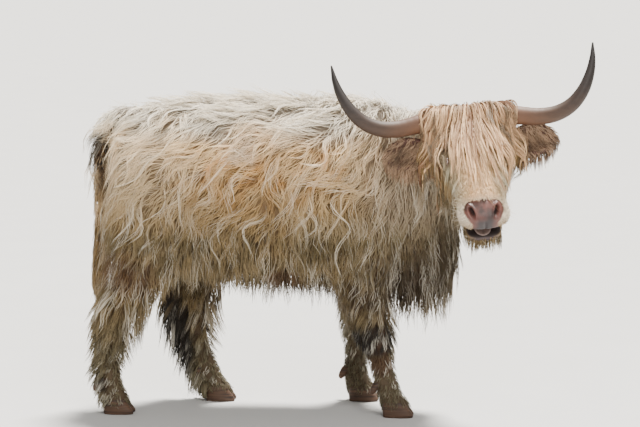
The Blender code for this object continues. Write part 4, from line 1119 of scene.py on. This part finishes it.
roots, faces = body_hide.sow(950, leg_area)
height = roots[:, 2]
hind = step(-0.25, -0.35, roots[:, 0]) * step(0.16, 0.28, height)
ahead = step(0.2, 0.6, facing[faces][:, 0])
length = np.interp(height, LEG_HEIGHTS, LEG_LENGTH) + (0.02 + 0.02 * ahead) * hind
lift = np.interp(height, LEG_HEIGHTS, LEG_LIFT) + (0.012 + 0.022 * ahead) * hind
guides = comb(body_hide, roots, faces, leg_lie, length, lift, 0.3, 5, HANGING)
coat("coat_legs", "coat_leg", body_hide, guides)

roots, faces = body_hide.sow(230, hock_area)
height, far = roots[:, 2], roots[:, 1] > MIDDLE_Y
length = np.interp(height, LEG_HEIGHTS, HOCK_LENGTH) + 0.04 * far
lift = (np.interp(height, LEG_HEIGHTS, HOCK_LIFT) + 0.03 * far) * draw.uniform(0.6, 1.2, len(roots))
guides = comb(body_hide, roots, faces, leg_lie, length, lift, 0.4, 6, HANGING)
coat("coat_hocks", "coat_leg", body_hide, guides)

roots, faces = body_hide.sow(130, tail_area)
length = np.interp(roots[:, 2], (0.42, 0.60, 0.75), (0.11, 0.17, 0.09))
guides = comb(body_hide, roots, faces, leg_lie, length, 0.016, 0.2, 6, HANGING)
coat("coat_tail", "coat_tail", body_hide, guides)

# %% Coat of the head
x, y, z = to_head(head_hide.centres).T
head_out = head_hide.normals @ head_turned
bare_faces = np.array([bare[list(p.vertices)].max() for p in head_skin.data.polygons])
EYE_ROOM = 0.029        # no fur grows this near the middle of an eye
LIPS_AT, LIPS_HALF = -0.114, 0.034
eye_gap = np.min([
    np.linalg.norm(np.stack([x - side * EYE_AT.x, y - EYE_AT.y, z - EYE_AT.z]), axis=0) for side in (-1, 1)
], axis=0)
# Fur stays off the bare skin, the eyes, the middle of the lips and the edge of the mouth
furred = (bare_faces < 0.5) & (eye_gap > EYE_ROOM) & (y > -0.09)
furred &= ~((np.abs(z - LIPS_AT) < LIPS_HALF) & (np.abs(x) < 0.046) & (y > 0.34))
furred &= ~((np.abs(z + 0.122) < 0.024) & (y > 0.32) & ((np.abs(x) < 0.050) | (y > 0.37)))
cheek = np.clip(step(0.060, 0.085, np.abs(x)) + step(-0.10, -0.13, z), 0, 1) * step(0.36, 0.28, y)
cheek = np.maximum(cheek, step(-0.142, -0.152, z) * (y < 0.43))


def face_lie(points, out):
    """Down the face to the muzzle on its front, and straight down on the cheeks."""
    local = to_head(points)
    front = step(0.085, 0.060, np.abs(local[:, 0:1])) * step(-0.09, -0.05, local[:, 2:3])
    forwards = ALONG_FACE + local[:, 0:1] * np.array((2.0, 0.0, 0.0))
    return (forwards @ head_turned.T) * front + DOWN * (1 - front)


def muzzle_lie(points, out):
    """Forwards to the nose pad on top, back and down beside it."""
    local = to_head(points)
    beside = step(-0.035, -0.060, local[:, 2:3])
    back = np.sign(local[:, 0:1]) * np.array((0.3, 0.0, 0.0)) + np.array((0.0, -0.6, -0.5))
    return (ALONG_FACE * (1 - beside) + back * beside) @ head_turned.T


def forelock_lie(points, out):
    """From the poll down over the forehead, fanning out to both sides."""
    local = to_head(points)
    return (ALONG_FACE + local[:, 0:1] * np.array((3.0, 0.0, 0.0))) @ head_turned.T


GAZE = (0.10, 0.72, 0.68)
GAZE_REACH = 0.12
EYE_FRONT = 0.012
CHEEK_PLACES = (0.0, 0.20, 0.34)


def clear_of_eyes(guides, room, sides=(-1, 1), kept=0.0):
    """Drops guides that pass before an eye, all but a few."""
    path, outs = guides
    local = to_head(path.reshape(-1, 3)).reshape(path.shape)
    shown = draw.uniform(0, 1, path.shape[1]) < kept
    near = np.zeros(path.shape[1], bool)
    for side in sides:
        at = np.array((side * (EYE_AT.x + EYE_FRONT), EYE_AT.y, EYE_AT.z))
        gaze = unit(np.array(GAZE) * (side, 1, 1))
        ahead = np.clip(((local - at) * gaze).sum(2), 0, GAZE_REACH)[:, :, None]
        near |= np.linalg.norm(local - at - ahead * gaze, axis=2).min(0) < room
    keep = ~near | shown
    return path[:, keep], outs[:, keep]


roots, faces = head_hide.sow(1100, furred * (y < 0.36) * np.interp(y, (0.1, 0.3), (0.7, 1.8)))
length = np.interp(to_head(roots)[:, 1], (0.10, 0.26, 0.36), (0.046, 0.042, 0.024))
guides = clear_of_eyes(comb(head_hide, roots, faces, face_lie, length, length * 0.28, 0.2, 4), 0.020)
coat("coat_face", "coat_head", head_hide, guides)

roots, faces = head_hide.sow(480, furred * (y > 0.33) * (z > -0.11))
heights = to_head(roots)[:, 2]
length = np.interp(heights, (-0.10, -0.06), (0.008, 0.017))
lift = np.interp(heights, (-0.10, -0.06), (0.003, 0.0075))
guides = comb(head_hide, roots, faces, muzzle_lie, length, lift, 0.1, 3, fall=(-2, -3))
coat("coat_muzzle", "coat_head", head_hide, guides)

roots, faces = head_hide.sow(400, furred * cheek)
forwards = to_head(roots)[:, 1]
length = np.interp(forwards, CHEEK_PLACES, (0.120, 0.085, 0.040)) * draw.uniform(0.8, 1.2, len(roots))
lift = np.interp(forwards, CHEEK_PLACES, (0.034, 0.030, 0.010))
guides = clear_of_eyes(comb(head_hide, roots, faces, face_lie, length, lift, 0.2, 6), 0.024)
coat("coat_cheeks", "coat_head", head_hide, guides)

roots, faces = head_hide.sow(190, furred * (z < -0.120) * (y > 0.18) * (y < 0.43))
beside = step(0.030, 0.055, np.abs(to_head(roots)[:, 0]))
length = (0.044 + 0.018 * beside) * draw.uniform(0.6, 1.3, len(roots))
guides = comb(head_hide, roots, faces, face_lie, length, 0.012 + 0.014 * beside, 0.3, 5, fall=(-0.2, -0.6))
coat("coat_chin", "coat_head", head_hide, guides)

on_poll = (np.abs(x) < 0.130) & (y > -0.085) & (y < 0.060) & (head_out[:, 2] > -0.3)
# The under layer of the forelock is dark: painted shade in the gaps between the forelock's strands.
roots, faces = head_hide.sow(110, on_poll)
length = 0.18 * draw.uniform(0.7, 1.1, len(roots))
guides = comb(head_hide, roots, faces, forelock_lie, length, 0.014, 0.12, 8)
coat("coat_forelock_under", "coat_head", head_hide, clear_of_eyes(guides, 0.026, (1,)))

roots, faces = head_hide.sow(410, on_poll)
across = to_head(roots)[:, 0]
shorter = np.where(across > 0, 0.58, 0.38) * np.abs(across) / 0.12
length = 0.40 * (1 - shorter) * draw.uniform(0.65, 1.05, len(roots))
guides = comb(head_hide, roots, faces, forelock_lie, length, 0.030, 0.14, 10, fall=(-0.3, -0.7))
coat("coat_forelock", "coat_head", head_hide, clear_of_eyes(guides, 0.026, (1,), 0.08))

# %% Coat of the ears
for side, word in BOTH:
    hide = ear_hides[word]
    ear_way = (HEAD @ mirrored(EAR_TIP, side) - HEAD @ mirrored(EAR_ROOT, side)).normalized()
    ear_lie = steady(np.array(ear_way) * 0.8 + np.array((0.0, 0.0, -0.75)))
    roots, faces = hide.sow(210, np.interp(hide.normals[:, 2], (-0.9, 0.0), (2.0, 1.0)))
    length = np.interp(hide.normals[faces][:, 2], (-0.8, 0.3), (0.065, 0.045))
    guides = comb(hide, roots, faces, ear_lie, length, 0.010, 0.3, 5, fall=(-0.2, -0.6))
    coat("coat_ear_" + word, "coat_ear", hide, guides, "coat_ear")

# %% [markdown]
# ## Whiskers and lashes
# Feelers stand out of the lips and chin, and lashes edge each upper lid. All are one bristle, bent a little,
# that repeats over a marked part of the skin, so Geometry Nodes strew it: points kept apart, a bristle on
# each, leaning by chance from a fixed seed, and all made real, because an export drops instances.

# %% A tree that strews bristles
BRISTLE_SIDES, BRISTLE_PARTS = 5, 4
BRISTLE_BEND, BRISTLE_LEAN, BRISTLE_CROWD = 7.0, (0.5, 0.5, math.pi), 2e5
BRISTLE_INPUTS = {
    "Skin": "Geometry", "Mark": "String", "Apart": "Float", "Length": "Float", "Thickness": "Float",
    "Seed": "Int", "Material": "Material",
}


def bristle_tree():
    tree = bpy.data.node_groups.new("bristles", "GeometryNodeTree")
    for label, kind in BRISTLE_INPUTS.items():
        tree.interface.new_socket(label, in_out="INPUT", socket_type="NodeSocket" + kind)
    tree.interface.new_socket("Bristles", in_out="OUTPUT", socket_type="NodeSocketGeometry")

    def node(kind, inputs=(), output=0, **settings):
        made = tree.nodes.new(kind)
        for key, value in settings.items():
            setattr(made, key, value)
        for key, value in dict(inputs).items():
            if isinstance(value, bpy.types.NodeSocket):
                tree.links.new(value, made.inputs[key])
            else:
                made.inputs[key].default_value = value
        return made.outputs[output]

    given = tree.nodes.new("NodeGroupInput").outputs
    mark = node("GeometryNodeInputNamedAttribute", {"Name": given["Mark"]}, data_type="FLOAT")
    points = node("GeometryNodeDistributePointsOnFaces", {
        "Mesh": given["Skin"], "Distance Min": given["Apart"], "Density Max": BRISTLE_CROWD,
        "Density Factor": mark, "Seed": given["Seed"],
    }, distribute_method="POISSON")
    facing_out = points.node.outputs["Rotation"]
    cone = node("GeometryNodeMeshCone", {
        "Vertices": BRISTLE_SIDES, "Side Segments": BRISTLE_PARTS, "Radius Bottom": given["Thickness"],
        "Depth": given["Length"],
    })
    height = node("ShaderNodeSeparateXYZ", {0: node("GeometryNodeInputPosition")}, "Z")
    square = node("ShaderNodeMath", {0: height, 1: height}, operation="MULTIPLY")
    aside = node("ShaderNodeMath", {0: square, 1: BRISTLE_BEND}, operation="MULTIPLY")
    shift = node("ShaderNodeCombineXYZ", {"X": aside})
    bent = node("GeometryNodeSetPosition", {"Geometry": cone, "Offset": shift})
    chance = node("FunctionNodeRandomValue", {
        0: [-v for v in BRISTLE_LEAN], 1: BRISTLE_LEAN, "Seed": given["Seed"],
    }, data_type="FLOAT_VECTOR")
    lean = node("FunctionNodeEulerToRotation", {0: chance})
    turned = node("FunctionNodeRotateRotation", {0: facing_out, 1: lean}, rotation_space="LOCAL")
    placed = node("GeometryNodeInstanceOnPoints", {"Points": points, "Instance": bent, "Rotation": turned})
    real = node("GeometryNodeRealizeInstances", {"Geometry": placed})
    dressed = node("GeometryNodeSetMaterial", {"Geometry": real, "Material": given["Material"]})
    tree.links.new(dressed, tree.nodes.new("NodeGroupOutput").inputs[0])
    return tree


BRISTLE_TREE = bristle_tree()
BRISTLE_SOCKETS = {item.name: item.identifier for item in BRISTLE_TREE.interface.items_tree}


def bristles(name, where, tone, **sizes):
    """Strews bristles over a part of the head's skin and makes a coat piece of them."""
    note(head_skin, name, where)
    grower = add_object(name + "_grower", head_skin.data)
    growth = grower.modifiers.new("bristles", "NODES")
    growth.node_group = BRISTLE_TREE
    for label, value in {"Mark": name, **sizes}.items():
        growth[BRISTLE_SOCKETS[label]] = value
    mesh = freeze(grower).data
    size = BRISTLE_SIDES * BRISTLE_PARTS + 1
    corners = np.clip(read(grower, "co"), REACH_LOW, REACH_HIGH).reshape(-1, size, 3)
    mesh.calc_loop_triangles()
    triangles = np.array([t.vertices[:] for t in mesh.loop_triangles]).reshape(len(corners), -1, 3)
    _, faces = head_hide.nearest(corners.mean(1))
    bpy.data.objects.remove(grower)
    tones = np.full(len(corners), tone)
    piece(name, "coat_head", corners, triangles, head_hide.spots[faces], tones, np.ones(size))
    print(name, len(corners), "bristles of", triangles.shape[1], "triangles")


x, y, z = to_head(read(head_skin, "co")).T
on_lips = (y > 0.29) & (z < -0.030) & (z > -0.175) & (np.maximum(bare, inner) < 0.3)
on_lips &= np.abs(z - LIPS_AT) > LIPS_HALF
lid_gap = np.abs(np.hypot(y - LID_AT.y, z - LID_AT.z) - LID_RADIUS - 0.003)
on_lid = (np.abs(x) > LID_AT.x - 0.01) & (lid_gap < 0.0035) & (z > LID_AT.z + 0.004)
bristles("whiskers", on_lips * 1.0, 0.8, Apart=0.012, Length=0.034, Thickness=0.0006, Seed=3)
bristles("lashes", on_lid * 1.0, 0.0, Apart=0.0032, Length=0.018, Thickness=0.0006, Seed=4)
print("coat triangles", sum(len(obj.data.polygons) for obj, _ in coat_pieces))

# %% [markdown]
# ## Markings and materials
# Skin and coat share one set of markings, stated where they are on the animal, with painted light and shade
# in
# them: pale along the back and on top of the rump, partly painted light from above and behind; tan and gold
# on the flank; greyer on the shoulder; browner and darker below, partly painted shade under the body; dark
# soiled patches; and patches of painted shade under the belly, the brisket and the front of the chest. Each
# strand is a little lighter or darker than the next, and darker towards its root as painted shade.

# %% Markings
WHITE, CREAM, TAN, GOLD = srgb(255, 247, 230), srgb(248, 216, 166), srgb(232, 184, 116), srgb(216, 156, 84)
# Of these, the olive is partly painted shade on the lower body, the brown is painted shade under the belly,
# and the deepest colour is dark hair and dirt as well as painted shade at the roots and under the coat.
GREY_CREAM, OLIVE_AND_SHADE, RUST, SOIL = srgb(206, 190, 172), srgb(104, 90, 60), srgb(84, 54, 32), srgb(14, 11, 9)
SHADE_BROWN, DARK_TONE_AND_SHADE = srgb(60, 46, 28), srgb(60, 42, 28)
# Patches: middle, radii, colour, how sharp and how strong
PATCHES = (
    ((-0.740, -0.020, 0.520), (0.16, 0.15, 0.12), RUST, 2.2, 0.75),
    ((-0.190, -0.060, 0.480), (0.09, 0.16, 0.07), RUST, 2.5, 0.75),
    # The next four patches are painted shade: under the belly, under the brisket, whose hair is also browner,
    # the head's shadow on the front of the chest, and under the chest by the forelegs.
    ((-0.150, 0.140, 0.420), (0.42, 0.36, 0.11), SHADE_BROWN, 1.8, 0.80),
    ((0.250, 0.080, 0.480), (0.27, 0.33, 0.19), srgb(52, 40, 24), 1.6, 0.90),
    ((0.430, 0.000, 0.580), (0.15, 0.30, 0.19), srgb(62, 51, 31), 1.7, 0.85),
    ((0.100, 0.000, 0.440), (0.10, 0.14, 0.10), SHADE_BROWN, 1.8, 0.70),
    ((-0.860, 0.140, 0.860), (0.05, 0.12, 0.12), DARK_TONE_AND_SHADE, 2.0, 0.70),
    ((-0.885, 0.140, 0.945), (0.075, 0.13, 0.100), SOIL, 3.0, 0.95),
    ((-0.915, 0.140, 0.330), (0.06, 0.09, 0.060), SOIL, 2.0, 0.80),
    ((-0.610, 0.280, 0.260), (0.085, 0.12, 0.27), SOIL, 3.5, 0.95),
    ((0.140, -0.010, 0.285), (0.110, 0.12, 0.085), SOIL, 3.0, 0.96),
    ((0.165, -0.010, 0.190), (0.065, 0.08, 0.055), RUST, 2.5, 0.75),
    ((-0.845, -0.040, 0.110), (0.035, 0.05, 0.035), SOIL, 3.0, 0.80),
)


def markings(finish, tone):
    """The colour of the coat at a point: broad zones, with painted light on top and painted shade below, then
    patches of dirt, rust and painted shade, then each strand's own tone.
    """
    ahead = finish.add("ShaderNodeSeparateXYZ", {}, (finish.at,), output="X")
    height = Term(finish, ahead.socket.node.outputs["Z"])
    broad, fine, ragged = (finish.noise(scale, 3.0) for scale in (4.5, 16.0, 30.0))
    golden = finish.patch((-0.24, MIDDLE_Y, 0.88), (0.48, 0.60, 0.27), 1.3, 1.5, fine)
    layers = [
        ((golden * (0.25 + 0.7 * fine.ramp(0.44, 4))).clamp(), GOLD),
        # Paler on top of the rump: partly the coat's own colour, partly painted light from above and behind.
        (ahead.ramp(-0.45, -4) * height.ramp(0.72, 4) * 0.6, srgb(252, 232, 200)),
        (ahead.ramp(0.02, 5) * 0.75, GREY_CREAM),
        # Olive and darker below: partly the lower coat's own colour, partly painted shade under the body.
        ((height.ramp(0.95, -3.2) * (0.62 + 0.6 * fine)).clamp(), OLIVE_AND_SHADE),
        # Darker still on the lower legs: painted shade.
        (height.ramp(0.36, -6) * 0.65, srgb(98, 94, 74)),
        # White on top of the back: partly pale hair, partly painted light from above.
        (((height - 0.96) * 8 + (broad - 0.5) * 3).clamp() * 0.9, WHITE),
    ]
    for centre, radii, tint, edge, strength in PATCHES:
        layers.append((finish.patch(centre, radii, edge, 1.6, ragged) * strength, tint))
    layers += [((0.48 - tone).clamp() * 1.7, DARK_TONE_AND_SHADE), ((tone - 0.6).clamp() * 1.5, WHITE)]
    return finish.over(finish.mix(broad.ramp(0.46, 5) * 0.7, CREAM, TAN), *layers)


def face_colour(finish, tone):
    """The face: cream down its middle, greyer on the cheeks, white round the nose, browner on the forehead as
    painted shade under the forelock, and olive and darker under the mouth and chin, partly painted shade.
    """
    across, forwards, up = (finish.mark("head_" + axis) for axis in "xyz")
    colour = finish.mix(across.size().ramp(0.035, 18), srgb(252, 214, 164), srgb(172, 162, 134))
    return finish.over(
        colour,
        # Browner up the face towards the poll: painted shade under the forelock.
        (forwards.ramp(0.22, -8) * 0.7, srgb(112, 78, 52)),
        (forwards.ramp(0.345, 20) * 0.8, srgb(240, 226, 206)),
        # Olive and darker under the mouth and darkest under the chin: partly the hair's own olive, partly
        # painted shade under the head.
        (up.ramp(-0.052, -30) * (0.5 + finish.noise(30.0)).clamp() * 0.9, srgb(140, 112, 70)),
        (up.ramp(-0.135, -30) * 0.8, srgb(92, 78, 50)),
        ((0.45 - tone).clamp() * 1.2, DARK_TONE_AND_SHADE),
        ((tone - 0.6).clamp() * 1.1, WHITE),
    )


def coat_finish(name, colours=markings, own=None, share=0.0, root_shade=1.3):
    """Hair in the skin's colours, or partly in two of its own by tone, with painted shade at the root."""
    finish = Finish(name, Roughness=0.62, Specular_IOR_Level=0.35)
    tone, depth = finish.mark("tone"), finish.mark("depth")
    # The tone rises towards each strand's tip, so the coat is darker deeper in: painted shade.
    colour = colours(finish, tone * 0.8 + 0.25 * depth)
    if own:
        colour = finish.mix(share, colour, finish.mix(tone, *own))
    if root_shade:
        # Painted shade: each strand darkens towards its root.
        colour = finish.mix((0.38 - depth).clamp() * root_shade, colour, DARK_TONE_AND_SHADE)
    return finish.set(Base_Color=colour, Normal=finish.bump(finish.noise(240.0), 0.25, 0.0006))


COAT_FINISHES = {name: coat_finish(name) for name in ("coat_body", "coat_neck", "coat_leg")}
COAT_FINISHES |= {
    "coat_tail": coat_finish("coat_tail", own=(DARK_TONE_AND_SHADE, TAN), share=0.35),
    "coat_face": coat_finish("coat_face", face_colour, root_shade=0.0),
    "coat_forelock": coat_finish(
        "coat_forelock", own=(srgb(104, 58, 34), srgb(255, 214, 166)), share=0.97, root_shade=0.4
    ),
    "coat_ear": coat_finish("coat_ear", own=(srgb(44, 27, 18), srgb(170, 136, 106)), share=0.92),
}
print("coat materials", len(COAT_FINISHES))

# %% Skin of body, head and ears
skin = Finish("skin_body", Roughness=0.7, Specular_IOR_Level=0.3)
pelt = skin.noise(350.0, 3.0, (1.0, 1.0, 0.25))
# The skin is pulled well towards the deepest colour: painted shade, so that gaps in the coat look deep.
colour = skin.mix(0.60, markings(skin, skin.noise(60.0) * 0.5), DARK_TONE_AND_SHADE)
SKIN = skin.set(Base_Color=colour, Normal=skin.bump(pelt, 0.6, 0.002))

# The head's skin: a furry face, darkened as painted shade where the coat leaves gaps, dark in front of the
# upper lip, with lips, a speckled pad, and nostrils and a mouth painted near black inside as shade
head = Finish("skin_head", Specular_IOR_Level=0.4)
pad, across, ahead, up = (head.mark(name) for name in ("pad", "head_x", "head_y", "head_z"))
grain = head.add("ShaderNodeTexVoronoi", {}, {"Vector": head.at, "Scale": 420.0})
flesh = head.mix(head.noise(26.0, 3.0).ramp(0.38, 5), srgb(56, 38, 34), srgb(98, 60, 52))
grey = (1.7 - across.size() * 36).clamp() * up.ramp(-0.038, -40)
front = ahead.ramp(0.37, 50) * (1.9 - across.size() * 32).clamp()
colour = head.over(
    # Pulled towards the deepest colour: painted shade in the gaps of the coat.
    head.mix(0.35, face_colour(head, head.noise(60.0) * 0.8), DARK_TONE_AND_SHADE),
    (head.mark("lip"), srgb(84, 62, 58)),
    (front * up.ramp(-0.082, -80), srgb(66, 54, 54)),
    (pad, head.mix(grey * 0.95, flesh, srgb(44, 39, 41))),
    # Near black inside the nostrils and the mouth: painted shade.
    (head.mark("inner"), srgb(30, 17, 15)),
)
normal = head.bump(grain * pad + head.noise(300.0) * (1 - pad), 0.4, 0.0012)
HEAD_SKIN = head.set(Base_Color=colour, Roughness=0.65 - 0.3 * pad, Normal=normal)

ear = Finish("skin_ear", Roughness=0.7)
colour = ear.mix(ear.noise(40.0), srgb(44, 28, 20), srgb(88, 54, 42))
EAR_SKIN = ear.set(Base_Color=colour, Normal=ear.bump(ear.noise(400.0), 0.4, 0.001))
print("skin materials ready")

# %% Horn, eye, claw and tongue
HORN_STOPS = (
    (0.00, srgb(112, 76, 52)), (0.20, srgb(90, 60, 40)), (0.42, srgb(60, 41, 28)),
    (0.68, srgb(36, 27, 23)), (1.00, srgb(18, 14, 14)),
)
horn = Finish("horn", Specular_IOR_Level=0.45)
streak = horn.noise(60.0, 3.0, (0.25, 1.0, 1.0))
colour = horn.add("ShaderNodeValToRGB", {}, ((horn.mark("share") + (streak - 0.5) * 0.16).clamp(),))
elements = colour.socket.node.color_ramp.elements
while len(elements) < len(HORN_STOPS):
    elements.new(1.0)
for element, (place, tint) in zip(elements, HORN_STOPS):
    element.position, element.color = place, (*tint, 1)
normal = horn.bump(horn.noise(500.0, 2.0, (0.2, 1.0, 1.0)), 0.25, 0.0006)
HORN_SHEATH = horn.set(Base_Color=colour, Roughness=0.52 + 0.15 * streak, Normal=normal)

eye = Finish("eye", Roughness=0.08, Coat_Weight=1.0, Coat_Roughness=0.03)
gaze = eye.mark("gaze")
pupil = gaze.ramp(0.80, 25) * eye.mark("across").ramp(0.22, -20)
colour = eye.over(srgb(120, 96, 84), (gaze.ramp(0.62, 30), srgb(52, 32, 20)), (pupil, srgb(8, 6, 6)))
EYE = eye.set(Base_Color=colour)

claw = Finish("claw", Specular_IOR_Level=0.4)
bands = claw.noise(30.0, 3.0, (0.3, 0.3, 8.0))
colour = claw.mix(bands.ramp(0.35, 3), srgb(50, 36, 28), srgb(98, 72, 54))
CLAW_HORN = claw.set(Base_Color=colour, Roughness=0.5 + 0.2 * bands, Normal=claw.bump(bands, 0.3, 0.002))

lick = Finish("tongue", Specular_IOR_Level=0.6)
mottle = lick.noise(120.0, 3.0)
colour = lick.mix(mottle, srgb(70, 56, 52), srgb(126, 104, 96))
TONGUE = lick.set(Base_Color=colour, Roughness=0.45 + 0.2 * mottle, Normal=lick.bump(mottle, 0.8, 0.002))
print("hard and moist materials ready")

# %% [markdown]
# ## Setting each piece on the body
# Every piece rides on the one body and gets its material, and the skins, horns, eyes and claws hide the CAD
# nodes whose place they take.

# %% Pieces join the frame
def join(obj, slot, material, *nodes):
    """Gives a piece its material, sets it on the body and hides the CAD nodes it replaces."""
    obj.data.materials.append(material)
    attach(obj, "root")
    if nodes:
        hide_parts(*nodes)


for obj in (head_skin, *(obj for obj, slot in coat_pieces if slot == "coat_head")):
    for axis, values in zip("xyz", to_head(read(obj, "co")).T):
        note(obj, "head_" + axis, values)
join(body_skin, "coat_body", SKIN, "torso", "neck", "tail", *LEGS)
join(head_skin, "coat_head", HEAD_SKIN, "head")
for word in ("right", "left"):
    join(ear_skins[word], "coat_ear", EAR_SKIN, "ear_" + word)
    join(horns[word], "horn", HORN_SHEATH, "horn_" + word)
    join(eyes[word], "eye", EYE, "eye_" + word)
join(tongue, "bare_skin", TONGUE, "tongue")
for node, obj in claws.items():
    join(obj, "claw", CLAW_HORN, node)
join(dewclaw_set, "claw", CLAW_HORN)
for obj, slot in coat_pieces:
    kind = "coat_face" if slot == "coat_head" else slot
    join(obj, slot, COAT_FINISHES["coat_forelock" if "forelock" in obj.name else kind])

# %% [markdown]
# ## Floor and light
# A plain pale floor and soft studio light: a soft sun high behind the back, which gives the photo's bright
# top line, a broad lamp from the viewer's side, and an even pale world.

# %% Floor and lamps
FLOOR_RADIUS, FLOOR_SIDES = 150, 96
FLOOR_TONES = ((0.58, 0.58, 0.57), (0.62, 0.62, 0.61))
LAMP_AIM = (0.0, 0.14, 0.7)
WORLD_COLOUR, WORLD_STRENGTH = (1.0, 0.985, 0.96, 1), 0.55

disc = bmesh.new()
bmesh.ops.create_circle(disc, cap_ends=True, segments=FLOOR_SIDES, radius=FLOOR_RADIUS)
floor = settle("floor", disc)
paint = Finish("floor", Roughness=0.9, Specular_IOR_Level=0.1)
floor.data.materials.append(paint.set(Base_Color=paint.mix(paint.noise(3.0), *FLOOR_TONES)))


def lamp(name, kind, place, **looks):
    """A soft lamp that looks at the middle of the cow."""
    data = bpy.data.lights.new(name, kind)
    for key, value in looks.items():
        setattr(data, key, value)
    aim(add_object(name, data), place, Vector(LAMP_AIM) - Vector(place))


lamp("top_lamp", "SUN", (0.6, 2.0, 6.0), energy=13.0, angle=math.radians(14), color=(1.0, 0.96, 0.90))
lamp("front_lamp", "AREA", (1.5, -5.0, 4.2), energy=260, shape="DISK", size=3.0, color=(1.0, 0.97, 0.93))
world = bpy.data.worlds.new("studio")
world.use_nodes = True
background = world.node_tree.nodes["Background"]
background.inputs["Color"].default_value = WORLD_COLOUR
background.inputs["Strength"].default_value = WORLD_STRENGTH
bpy.context.scene.world = world
print("lamps set")
